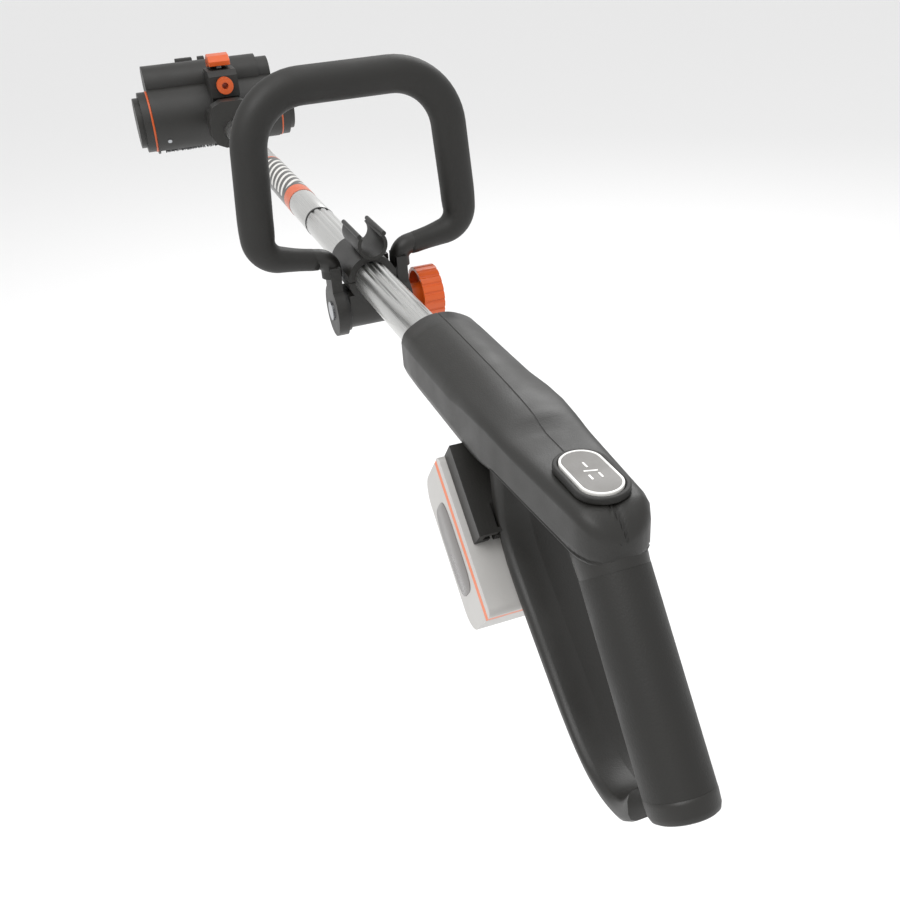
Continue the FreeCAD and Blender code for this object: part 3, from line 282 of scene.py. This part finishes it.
# ---- mesh helpers -----------------------------------------------------------------------------
def dress(name, finish, edge=None, segments=3):
    """Gives a CAD node its finish and moulded edges."""
    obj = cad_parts[name]
    obj.data.materials.clear()
    obj.data.materials.append(FINISH[finish])
    for polygon in obj.data.polygons:
        polygon.use_smooth = True
    if "custom_normal" in obj.data.attributes:
        obj.data.attributes.remove(obj.data.attributes["custom_normal"])
    weld = obj.modifiers.new("Weld", "WELD")
    weld.merge_threshold = 0.00002
    if edge:
        bevel = obj.modifiers.new("Moulded edge", "BEVEL")
        bevel.width = edge
        bevel.segments = segments
        bevel.limit_method = "ANGLE"
        bevel.angle_limit = math.radians(27)
        bevel.use_clamp_overlap = True
        bevel.miter_outer = "MITER_ARC"
    obj.modifiers.new("Even shading", "WEIGHTED_NORMAL")


def piece(name, vertices, faces, finish, body, replaces=(), smooth=True):
    """A new piece from vertices and faces in the scene's metres."""
    mesh = bpy.data.meshes.new(name)
    mesh.from_pydata([tuple(v) for v in vertices], [], faces)
    mesh.validate()
    made = bmesh.new()
    made.from_mesh(mesh)
    bmesh.ops.recalc_face_normals(made, faces=made.faces)
    made.to_mesh(mesh)
    made.free()
    obj = bpy.data.objects.new(name, mesh)
    bpy.context.scene.collection.objects.link(obj)
    mesh.materials.append(FINISH[finish])
    for polygon in mesh.polygons:
        polygon.use_smooth = smooth
    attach(obj, body)
    if replaces:
        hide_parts(*replaces)


def loft(rings, caps=True):
    """Vertices and faces of a skin over closed rings with equal point counts."""
    count = len(rings[0])
    vertices = [v for ring in rings for v in ring]
    faces = []
    for i in range(len(rings) - 1):
        for k in range(count):
            a = i * count + k
            b = i * count + (k + 1) % count
            faces.append((a, b, b + count, a + count))
    if caps:
        faces.append(tuple(range(count)))
        faces.append(tuple((len(rings) - 1) * count + k for k in range(count)))
    return vertices, faces


def smoothstep(t):
    """Goes from 0 to 1 with soft ends, and stays there outside."""
    t = min(1.0, max(0.0, t))
    return t * t * (3 - 2 * t)


def soften(points, rounds, closed=True):
    """Cuts the corners of a run of points, again and again, which leaves a smooth line."""
    for _ in range(rounds):
        made = []
        count = len(points)
        for i in range(count if closed else count - 1):
            a, b = Vector(points[i]), Vector(points[(i + 1) % count])
            made += [a * 0.75 + b * 0.25, a * 0.25 + b * 0.75]
        points = made if closed else [Vector(points[0])] + made + [Vector(points[-1])]
    return points


def between(stations, x):
    """Values of a table of stations at x, in straight lines from one to the next."""
    for a, b in zip(stations, stations[1:]):
        if (a[0] - x) * (b[0] - x) <= 0:
            t = (x - a[0]) / (b[0] - a[0])
            return [p + (q - p) * t for p, q in zip(a[1:], b[1:])]
    raise ValueError("no station at %s" % x)


# Along the barrel: x, half width, height of the crown, height of the shoulder, the shoulder's share
# of the half width, height of the side's top edge, height of the bottom.
BARREL = [
    (0.0, 27.8, 30.4, 25.4, 0.66, 14.5, -25.8),
    (-60.0, 27.9, 29.6, 25.0, 0.66, 14.5, -25.8),
    (-96.0, 28.0, 29.0, 24.6, 0.67, 15.0, -25.8),
    (-120.0, 28.0, 28.2, 24.6, 0.70, 18.5, -25.0),
    (-140.0, 27.6, 27.2, 24.6, 0.72, 19.5, -20.0),
    (-150.0, 26.8, 26.4, 24.0, 0.72, 19.5, -14.0),
    (-158.0, 26.4, 25.4, 23.6, 0.72, 19.0, -11.9),
    (-166.0, 25.8, 22.9, 22.3, 0.73, 18.6, -11.9),
    (-173.0, 25.3, 21.5, 21.4, 0.74, 18.0, -11.9),
    (-180.0, 24.9, 21.4, 21.3, 0.75, 17.6, -11.9),
    (-215.0, 22.6, 21.4, 21.3, 0.77, 17.2, -11.9),
    (-243.0, 20.8, 21.4, 21.3, 0.76, 16.8, -11.9),
    (-250.0, 19.4, 21.2, 21.0, 0.74, 16.0, -11.9),
    (-256.0, 16.6, 18.4, 18.2, 0.72, 12.5, -11.9),
    (-260.0, 12.6, 14.8, 14.6, 0.70, 10.0, -11.9),
    (-262.6, 8.0, 11.0, 10.8, 0.68, 7.5, -11.9),
    (-263.6, 3.6, 8.0, 7.8, 0.66, 4.0, -11.9),
]


# Where the shell's rings stand.
SHELL_STOPS = (
    0.0, -1.2, -20.0, -60.0, -96.0, -104.0, -112.0, -120.0, -130.0, -140.0, -145.0, -150.0,
    -154.0, -158.0, -162.0, -166.0, -170.0, -173.0, -176.0, -180.0, -200.0, -215.0, -230.0,
    -243.0, -247.0, -250.0, -253.0, -256.0, -258.0, -260.0, -261.4, -262.6, -263.2, -263.6,
)
RIM_INSETS = {0.0: 1.2, -1.2: 0.35}  # rounding of the front rim
BORE_STOPS = (-60.0, 0.0)
# The strut from the barrel down to the foot of the grip, as side views of its front and back.
STRUT_FRONT = [
    (-131, -18), (-133, -27), (-137, -42), (-150, -68), (-176, -91), (-203, -111),
    (-229, -130), (-252, -142), (-270, -146), (-287, -144), (-299, -139), (-306, -130),
]
STRUT_BACK = [
    (-150, -8), (-147, -24), (-147, -46), (-159, -63), (-183, -82), (-211, -104),
    (-236, -123.5), (-256, -134.5), (-271, -136.5), (-285, -134), (-296, -125), (-303, -110),
]
# Half of the strut's section: share of the way from front to back, and half width.
STRUT_SECTION = [
    (0.0, 15.0), (0.1, 18.3), (0.3, 19.5), (0.7, 19.5),
    (0.9, 18.3), (1.0, 15.0), (1.0, 1.0), (0.99, 0.35),
]
# Height along the grip and growth of its section.
GRIP_END = (
    (-54.6, -0.8), (-55.2, 0.0), (-57.0, 0.1), (-63.0, -0.3), (-65.6, -1.3), (-66.6, -3.0), (-66.9, -6.0),
)
GRIP_ROOT = ((44.0, -1.4), (47.0, 0.0), (54.0, 0.4), (60.0, 0.8), (70.0, 1.0))
# The loop's left half, from its lower end up to the top: y, z and the radius of the bend there.
LOOP_HALF = [
    (40.0, 18.2, 0), (60.0, 21.8, 0), (87.2, 27.4, 19), (85.8, 60.0, 0),
    (82.5, 105.0, 0), (79.0, 155.5, 47), (18.0, 155.5, 0),
]


def barrel_ring(x, inset=0.0):
    """The barrel's section at x, as points of y and z."""
    w, crown, shoulder, share, edge, low = between(BARREL, x)
    w, crown, shoulder, low = w - inset, crown - inset, shoulder - inset, low + inset
    half = [
        (0.0, crown), (w * share * 0.5, crown - (crown - shoulder) * 0.18), (w * share, shoulder),
        (w * 0.9, (shoulder + edge) / 2 + 0.8), (w, edge), (w, edge - 3.0), (w, -1.5),
        (w, -4.5), (w * 0.86, min(-8.0, low * 0.55)), (w * 0.55, low), (0.0, low),
    ]
    ring = [(0.0, y, z) for y, z in half] + [(0.0, -y, z) for y, z in half[-2:0:-1]]
    return [(v.y, v.z) for v in soften(ring, 3)]


def sharpen(ring):
    """Adds points close beside the middle of the crown, so that a joint line there is narrow."""
    made = []
    count = len(ring)
    for i, (y, z) in enumerate(ring):
        made.append((y, z))
        y2, z2 = ring[(i + 1) % count]
        if z > 0 and z2 > 0 and (y > 0) != (y2 > 0) and abs(y - y2) > 0.1:
            for level in (0.5, 0.0, -0.5):
                target = level if y > y2 else -level
                t = (target - y) / (y2 - y)
                if 0 < t < 1:
                    made.append((target, z + (z2 - z) * t))
    return made


def grooved(ring, x, depth):
    """Sinks the joint line between the two halves along the crown, and the side seam behind the scoop."""
    made = []
    for y, z in ring:
        if abs(y) < SEAM_HALF and z > 0:
            z -= depth
        if x < -157 and SIDE_SEAM[0] < z < SIDE_SEAM[1] and abs(y) > 5:
            y -= math.copysign(depth, y)
        made.append((y, z))
    return made


def rounded_path(points, radii):
    """Points along straight runs joined by arcs."""
    made = []
    for i, p in enumerate(points):
        if radii[i] == 0:
            made.append(p)
            continue
        back = (points[i - 1] - p).normalized()
        ahead = (points[i + 1] - p).normalized()
        half = back.angle(ahead) / 2
        reach = radii[i] / math.tan(half)
        centre = p + (back + ahead).normalized() * (radii[i] / math.sin(half))
        first, last = p + back * reach - centre, p + ahead * reach - centre
        sweep = first.angle(last)
        for k in range(15):
            t = k / 14
            from_first = math.sin((1 - t) * sweep) / math.sin(sweep)
            from_last = math.sin(t * sweep) / math.sin(sweep)
            made.append(centre + first * from_first + last * from_last)
    dense = [made[0]]
    for p in made[1:]:
        steps = max(1, int((p - dense[-1]).length / 5.0))
        start_point = dense[-1]
        dense += [start_point + (p - start_point) * (k + 1) / steps for k in range(steps)]
    return dense


def tube_ring(x, radius, flutes=(), depth=0.0):
    """A ring round the tube; flutes are pairs of an angle and a share of the depth."""
    ring = []
    for k in range(TUBE_SIDES):
        a = 2 * math.pi * k / TUBE_SIDES
        r = radius
        for flute, share in flutes:
            away = (math.degrees(a) - flute + 180) % 360 - 180
            if abs(away) < FLUTE_HALF:
                r -= depth * share * (0.5 + 0.5 * math.cos(math.pi * away / FLUTE_HALF))
        ring.append(at(x, r * math.cos(a), r * math.sin(a)))
    return ring


def fluted_tube(name, covered, stops, depth):
    """A length of tube; stops are x, radius and share of the upper flutes' depth."""
    rings = []
    for x, radius, share in stops:
        flutes = [(a, share) for a in UPPER_FLUTES] + [(a, 1.0) for a in LOWER_FLUTES]
        rings.append(tube_ring(x, radius, flutes, depth))
    bore = [tube_ring(stops[-1][0], TUBE_BORE_R), tube_ring(stops[0][0], TUBE_BORE_R)]
    vertices, faces = loft(rings + bore + [rings[0]], caps=False)
    piece(name, vertices, faces, "tube", "rear_body", (covered,))


class CLEANER_OT_tube(bpy.types.Operator):
    """Fluted aluminium tube with its bands and printed film"""
    bl_idname = "cleaner.tube"
    bl_label = "Tube"

    def execute(self, context):
        depth = context.scene.cleaner_sizes.flute_depth * 1000
        end = TUBE_R - TUBE_END_STEP
        places = (-69, -40, 0, 20, 40, 52, 64, 80, 110, 140, 166, 230, 300, 348)
        stops = [(x, TUBE_R, smoothstep((x - 40) / 40)) for x in places] + [(349.6, end, 1.0)]
        fluted_tube("rear_tube_fluted", "upper_tube", stops, depth)
        stops = [(353.3, end, 0.0)] + [(x, TUBE_R, 0.0) for x in (354, 400, 500, 600, 700, 800, 884)]
        fluted_tube("front_tube_fluted", "lower_tube", stops, depth)
        dress("joint_ring", "black", 0.0003)
        dress("tube_bands", "orange")
        dress("label_sleeve", "film")
        dress("tube_coupler", "zinc")
        return {"FINISHED"}


def rear_shell():
    """The housing's barrel: a bore for the tube, a softened skin and a closed tail."""
    rings = []
    for x in SHELL_STOPS:
        ring = sharpen(barrel_ring(x, RIM_INSETS.get(x, 0.0)))
        rings.append([at(x, y, z) for y, z in grooved(ring, x, SEAM_DEPTH)])
    bore = []
    for x in BORE_STOPS:
        ring = []
        for y, z in sharpen(barrel_ring(0.0)):
            scale = (TUBE_R + SOCKET_CLEAR) / math.hypot(y, z)
            ring.append(at(x, scale * y, scale * z))
        bore.append(ring)
    vertices, faces = loft(bore + rings, caps=False)
    count = len(rings[0])
    faces.append(tuple(range(len(vertices) - count, len(vertices))))
    covered = ("housing_left", "housing_right")
    piece("rear_shell", vertices, faces, "nylon", "rear_body", covered)


def handle_strut():
    """The strut in front of the fingers, curving back to the foot of the grip."""
    front = soften([(x, 0, z) for x, z in STRUT_FRONT], 3, closed=False)
    back = soften([(x, 0, z) for x, z in STRUT_BACK], 3, closed=False)
    section = STRUT_SECTION + [(share, -y) for share, y in STRUT_SECTION[::-1]]
    rings = []
    for a, b in zip(front, back):
        rings.append([at(a.x + (b.x - a.x) * share, y, a.z + (b.z - a.z) * share) for share, y in section])
    vertices, faces = loft(rings)
    piece("handle_strut", vertices, faces, "nylon", "rear_body")


def grip_skin(name, stations, half_depth, half_width):
    """A piece round the rear grip's axis; stations are height along it and growth of the section."""
    lean = Matrix.Rotation(math.radians(GRIP_LEAN), 4, "Y")
    middle = at(*GRIP_MIDDLE)
    rings = []
    for height, grow in stations:
        ring = []
        for k in range(96):
            a = 2 * math.pi * k / 96
            x = GRIP_BACK + (half_depth + grow) * math.cos(a)
            y = (half_width + grow) * math.sin(a)
            ring.append(middle + lean @ Vector((x / 1000, y / 1000, height / 1000)))
        rings.append(ring)
    vertices, faces = loft(rings)
    piece(name, vertices, faces, "nylon", "rear_body")


class CLEANER_OT_housing(bpy.types.Operator):
    """Rear housing with its strut, soft grip, battery receiver and screws"""
    bl_idname = "cleaner.housing"
    bl_label = "Rear housing"

    def execute(self, context):
        rear_shell()
        handle_strut()
        grip_skin("grip_end", GRIP_END, 20.0, 18.0)
        grip_skin("grip_root", GRIP_ROOT, 19.4, 17.6)
        dress("grip_sleeve", "rubber", 0.0004)
        dress("battery_receiver", "nylon", 0.0016, 4)
        dress("housing_screws", "zinc", 0.0003)
        return {"FINISHED"}


class CLEANER_OT_controls(bpy.types.Operator):
    """Speed button with its mark, trigger and lock-off"""
    bl_idname = "cleaner.controls"
    bl_label = "Controls"

    def execute(self, context):
        fine = context.scene.cleaner_sizes.fine_edge
        dress("button_base", "rubber", 0.0009, 4)
        dress("button_ring", "white", fine)
        dress("button_plate", "cap", fine)
        dress("trigger", "black", 0.0012, 4)
        dress("trigger_pin", "zinc", 0.0003)
        dress("trigger_spring", "zinc")
        dress("lock_off_button", "black", 0.001, 4)
        marks = [
            [(-233.5, -3.2), (-229.0, -3.2), (-229.0, -2.2), (-233.5, -2.2)],
            [(-233.5, 2.2), (-229.0, 2.2), (-229.0, 3.2), (-233.5, 3.2)],
            [(-227.2, -3.2), (-226.2, -3.5), (-224.2, 3.2), (-225.2, 3.5)],
            [(-222.0, -0.5), (-217.0, -0.5), (-217.0, 0.5), (-222.0, 0.5)],
        ]
        vertices, faces = [], []
        for mark in marks:
            base = len(vertices)
            vertices += [at(x, y, 26.25) for x, y in mark] + [at(x, y, 26.42) for x, y in mark]
            faces += [(base, base + 1, base + 2, base + 3), (base + 4, base + 7, base + 6, base + 5)]
            faces += [(base + k, base + (k + 1) % 4, base + 4 + (k + 1) % 4, base + 4 + k) for k in range(4)]
        piece("speed_mark", vertices, faces, "white", "speed_button", smooth=False)
        return {"FINISHED"}


def battery_labels():
    """A plain label plate with rounded corners on each side of the battery."""
    lean = Matrix.Rotation(math.radians(PACK_LEAN), 4, "Y")
    top = at(*PACK_TOP)
    across, out, along = LABEL_PLACE
    for side, name in ((1, "left"), (-1, "right")):
        rings = []
        for lift, inset in ((0.0, 0.0), (0.4, 0.0), (0.6, 0.4)):
            ring = []
            for k in range(48):
                a = 2 * math.pi * k / 48
                c, s = math.cos(a), math.sin(a)
                u = math.copysign(abs(c) ** 0.5, c) * (LABEL_HALF[0] - inset)
                v = math.copysign(abs(s) ** 0.5, s) * (LABEL_HALF[1] - inset)
                ring.append(top + lean @ (Vector((across + u, side * (out + lift), along + v)) / 1000))
            rings.append(ring)
        vertices, faces = loft(rings)
        piece("battery_label_" + name, vertices, faces, "pack_label", "battery")


class CLEANER_OT_battery(bpy.types.Operator):
    """Slide-on battery with its band, catch and plain label"""
    bl_idname = "cleaner.battery"
    bl_label = "Battery"

    def execute(self, context):
        dress("battery_case_upper", "pack", 0.0012, 4)
        dress("battery_case_lower", "pack", 0.0012, 4)
        dress("battery_band", "pack_band", 0.0004)
        dress("battery_latch", "pack", 0.0007)
        dress("battery_cells", "wrap")
        dress("terminal_block", "black", 0.0003)
        battery_labels()
        return {"FINISHED"}


def loop_grip():
    """The loop's soft grip: thick round the sides and top, narrowing smoothly into the bar at both ends."""
    corners = LOOP_HALF + [(-y, z, radius) for y, z, radius in LOOP_HALF[::-1]]
    path = rounded_path([Vector((0, y, z)) for y, z, _ in corners], [radius for _, _, radius in corners])
    total = sum((b - a).length for a, b in zip(path, path[1:]))
    side = Vector((1, 0, 0))
    rings, gone = [], 0.0
    for i, p in enumerate(path):
        gone += (p - path[i - 1]).length if i else 0.0
        end = min(gone, total - gone)
        radius = BAR_R + GRIP_SWELL * smoothstep((end - 8.0) / 62.0)
        if end < 1.2:
            radius -= 0.5
        ahead = (path[min(i + 1, len(path) - 1)] - path[max(i - 1, 0)]).normalized()
        outward = ahead.cross(side)
        ring = []
        for k in range(40):
            a = 2 * math.pi * k / 40
            q = p + outward * (radius * math.cos(a)) + side * (radius * 0.97 * math.sin(a))
            ring.append(at(PIVOT_X + q.x, q.y, q.z))
        rings.append(ring)
    vertices, faces = loft(rings)
    piece("loop_grip", vertices, faces, "rubber", "front_handle", ("handle_grip",))


class CLEANER_OT_front_handle(bpy.types.Operator):
    """Loop handle, its clamp with the hose clip, washers, bolt and knob"""
    bl_idname = "cleaner.front_handle"
    bl_label = "Front handle"

    def execute(self, context):
        dress("handle_frame", "nylon", 0.0009)
        loop_grip()
        dress("clamp_upper", "nylon", 0.0005)
        dress("clamp_lower", "nylon", 0.0007)
        dress("clamp_screws", "zinc", 0.0003)
        dress("handle_washers", "black", 0.0004)
        dress("handle_bolt", "zinc", 0.0005)
        dress("handle_knob", "orange", 0.0006)
        return {"FINISHED"}


class CLEANER_OT_head(bpy.types.Operator):
    """Tube socket, neck, hood, covers, hose nipple, latch, motor, gears and the brush's core"""
    bl_idname = "cleaner.head"
    bl_label = "Head"

    def execute(self, context):
        for name, finish, edge, segments in (
            ("tube_socket", "nylon", 0.0012, 3), ("tilt_pin", "zinc", 0.0005, 3),
            ("neck", "nylon", 0.0009, 3), ("nipple_boot", "rubber", 0.0016, 4),
            ("hose_nipple", "orange", 0.0008, 4), ("tilt_latch", "orange", 0.0014, 4),
            ("latch_pin", "zinc", 0.0003, 3), ("latch_spring", "zinc", None, 3),
            ("hood_left", "nylon", 0.0008, 3), ("hood_right", "nylon", 0.0008, 3),
            ("hood_screws", "zinc", 0.0003, 3), ("hood_tabs", "rubber", 0.0009, 3),
            ("gear_case", "nylon", 0.0008, 3), ("gear_cover", "nylon", 0.0007, 3),
            ("end_cover_left", "nylon", 0.0022, 5), ("end_cover_right", "nylon", 0.0022, 5),
            ("gasket_left", "orange", 0.0006, 3), ("gasket_right", "orange", 0.0006, 3),
            ("motor", "zinc", 0.0006, 3), ("motor_pinion", "zinc", None, 3),
            ("idler_gear", "natural", None, 3), ("roller_gear", "natural", None, 3),
            ("roller_shaft", "zinc", 0.0004, 3), ("shaft_bearings", "zinc", 0.0003, 3),
            ("brush_core", "black", 0.0005, 3),
        ):
            dress(name, finish, edge, segments)
        return {"FINISHED"}


def strand_end(centre, radius, turn, y, thick):
    """Three points round one end of a bristle, in metres."""
    c, s = math.cos(turn), math.sin(turn)
    points = []
    for q in range(3):
        g = 2 * math.pi * q / 3
        side = thick * math.cos(g)
        x = centre.x + radius * c - side * s
        z = centre.z + radius * s + side * c
        points.append((x, y + thick * math.sin(g), z))
    return points


class CLEANER_OT_brush(bpy.types.Operator):
    """Nylon tufts of the roller brush"""
    bl_idname = "cleaner.brush"
    bl_label = "Roller brush"

    def execute(self, context):
        sizes = context.scene.cleaner_sizes
        chance = random.Random(7)
        lo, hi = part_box("brush_bristles")
        centre = at(*ROLLER)
        inner = 0.0138
        outer = (hi.z - lo.z) / 2 - 0.0004
        vertices, faces = [], []
        rows = sizes.bristle_rows
        around = sizes.tufts_per_row
        for row in range(rows):
            y = lo.y + 0.002 + (hi.y - lo.y - 0.004) * row / (rows - 1)
            for k in range(around):
                angle = 2 * math.pi * (k + 0.5 * (row % 2)) / around
                for _ in range(5):
                    a = angle + chance.uniform(-0.02, 0.02)
                    b = a + chance.uniform(-0.09, 0.09)
                    y0 = y + chance.uniform(-0.0008, 0.0008)
                    y1 = min(hi.y - 0.0006, max(lo.y + 0.0006, y0 + chance.uniform(-0.0026, 0.0026)))
                    tip = outer * chance.uniform(0.955, 1.0)
                    base = len(vertices)
                    vertices += strand_end(centre, inner, a, y0, 0.00055)
                    vertices += strand_end(centre, tip, b, y1, 0.0004)
                    for q in range(3):
                        r = (q + 1) % 3
                        faces.append((base + q, base + r, base + 3 + r, base + 3 + q))
                    faces.append((base + 3, base + 4, base + 5))
        piece("bristle_tufts", vertices, faces, "bristle", "roller", ("brush_bristles",))
        return {"FINISHED"}


class CLEANER_OT_inner_parts(bpy.types.Operator):
    """Electronics and the lead inside the housing and tube"""
    bl_idname = "cleaner.inner_parts"
    bl_label = "Inner parts"

    def execute(self, context):
        dress("control_board", "board", 0.0002)
        dress("motor_lead", "black", 0.0004)
        return {"FINISHED"}


class CLEANER_OT_stage(bpy.types.Operator):
    """Pale floor, soft lights and the camera"""
    bl_idname = "cleaner.stage"
    bl_label = "Stage"

    def execute(self, context):
        scene = context.scene
        mesh = bpy.data.meshes.new("floor")
        reach = FLOOR_REACH
        corners = [(-reach, -reach), (reach, -reach), (reach, reach), (-reach, reach)]
        mesh.from_pydata([(x, y, FLOOR_Z) for x, y in corners], [], [(0, 1, 2, 3)])
        floor = bpy.data.objects.new("floor", mesh)
        scene.collection.objects.link(floor)
        material, _, shader, _ = start("Painted floor, white")
        shader.inputs["Base Color"].default_value = linear("F7F7F7")
        shader.inputs["Roughness"].default_value = 0.9
        mesh.materials.append(material)
        world = bpy.data.worlds.new("Soft room")
        scene.world = world
        world.use_nodes = True
        sky = world.node_tree.nodes["Background"]
        sky.inputs["Color"].default_value = (1.0, 1.0, 1.0, 1.0)
        sky.inputs["Strength"].default_value = 0.86
        for name, place, aim, size, watts in (
            ("key", (-0.6, 1.3, 1.9), (0.4, 0.0, 0.0), 1.1, 22),
            ("rim", (1.9, -1.2, 1.5), (0.6, 0.0, 0.05), 0.9, 16),
            ("top", (0.4, 0.2, 2.1), (0.5, 0.0, 0.0), 1.6, 12),
        ):
            light = bpy.data.lights.new(name, "AREA")
            light.size = size
            light.energy = watts
            lamp = bpy.data.objects.new(name, light)
            lamp.location = place
            lamp.rotation_mode = "QUATERNION"
            lamp.rotation_quaternion = (Vector(aim) - Vector(place)).to_track_quat("-Z", "Y")
            scene.collection.objects.link(lamp)
        data = bpy.data.cameras.new("camera")
        data.sensor_width = 36.0
        data.lens = 39.5
        camera = bpy.data.objects.new("camera", data)
        right = Vector((-0.34387, -0.93665, -0.06663))
        up = Vector((0.44594, -0.22534, 0.86623))
        forward = Vector((0.82637, -0.26815, -0.49518))
        turn = Matrix((right, up, -forward)).transposed().to_4x4()
        camera.matrix_world = Matrix.Translation((-0.3150, 0.1924, 0.3397)) @ turn
        data.clip_start = 0.01
        scene.collection.objects.link(camera)
        scene.camera = camera
        scene.view_settings.view_transform = "Standard"
        return {"FINISHED"}


class CLEANER_PT_panel(bpy.types.Panel):
    """Lists the pieces of the patio cleaner"""
    bl_idname = "CLEANER_PT_panel"
    bl_label = "Patio cleaner"
    bl_space_type = "VIEW_3D"
    bl_region_type = "UI"
    bl_category = "Patio Cleaner"

    def draw(self, context):
        for group in (context.scene.cleaner_sizes, context.scene.cleaner_colours):
            for key in group.__annotations__:
                self.layout.prop(group, key)
        for operator in OPERATORS:
            self.layout.operator(operator.bl_idname)


OPERATORS = (
    CLEANER_OT_tube, CLEANER_OT_housing, CLEANER_OT_controls, CLEANER_OT_battery, CLEANER_OT_front_handle,
    CLEANER_OT_head, CLEANER_OT_brush, CLEANER_OT_inner_parts, CLEANER_OT_stage,
)


def register():
    for made in (CleanerSizes, CleanerColours) + OPERATORS + (CLEANER_PT_panel,):
        bpy.utils.register_class(made)
    bpy.types.Scene.cleaner_sizes = bpy.props.PointerProperty(type=CleanerSizes)
    bpy.types.Scene.cleaner_colours = bpy.props.PointerProperty(type=CleanerColours)


def unregister():
    del bpy.types.Scene.cleaner_sizes
    del bpy.types.Scene.cleaner_colours
    for made in (CLEANER_PT_panel,) + OPERATORS[::-1] + (CleanerColours, CleanerSizes):
        bpy.utils.unregister_class(made)


def main():
    register()
    make_finishes()
    bpy.ops.cleaner.stage()
    bpy.ops.cleaner.tube()
    bpy.ops.cleaner.housing()
    bpy.ops.cleaner.controls()
    bpy.ops.cleaner.battery()
    bpy.ops.cleaner.front_handle()
    bpy.ops.cleaner.head()
    bpy.ops.cleaner.brush()
    bpy.ops.cleaner.inner_parts()
    bpy.context.view_layer.update()


if __name__ == "__main__":
    main()
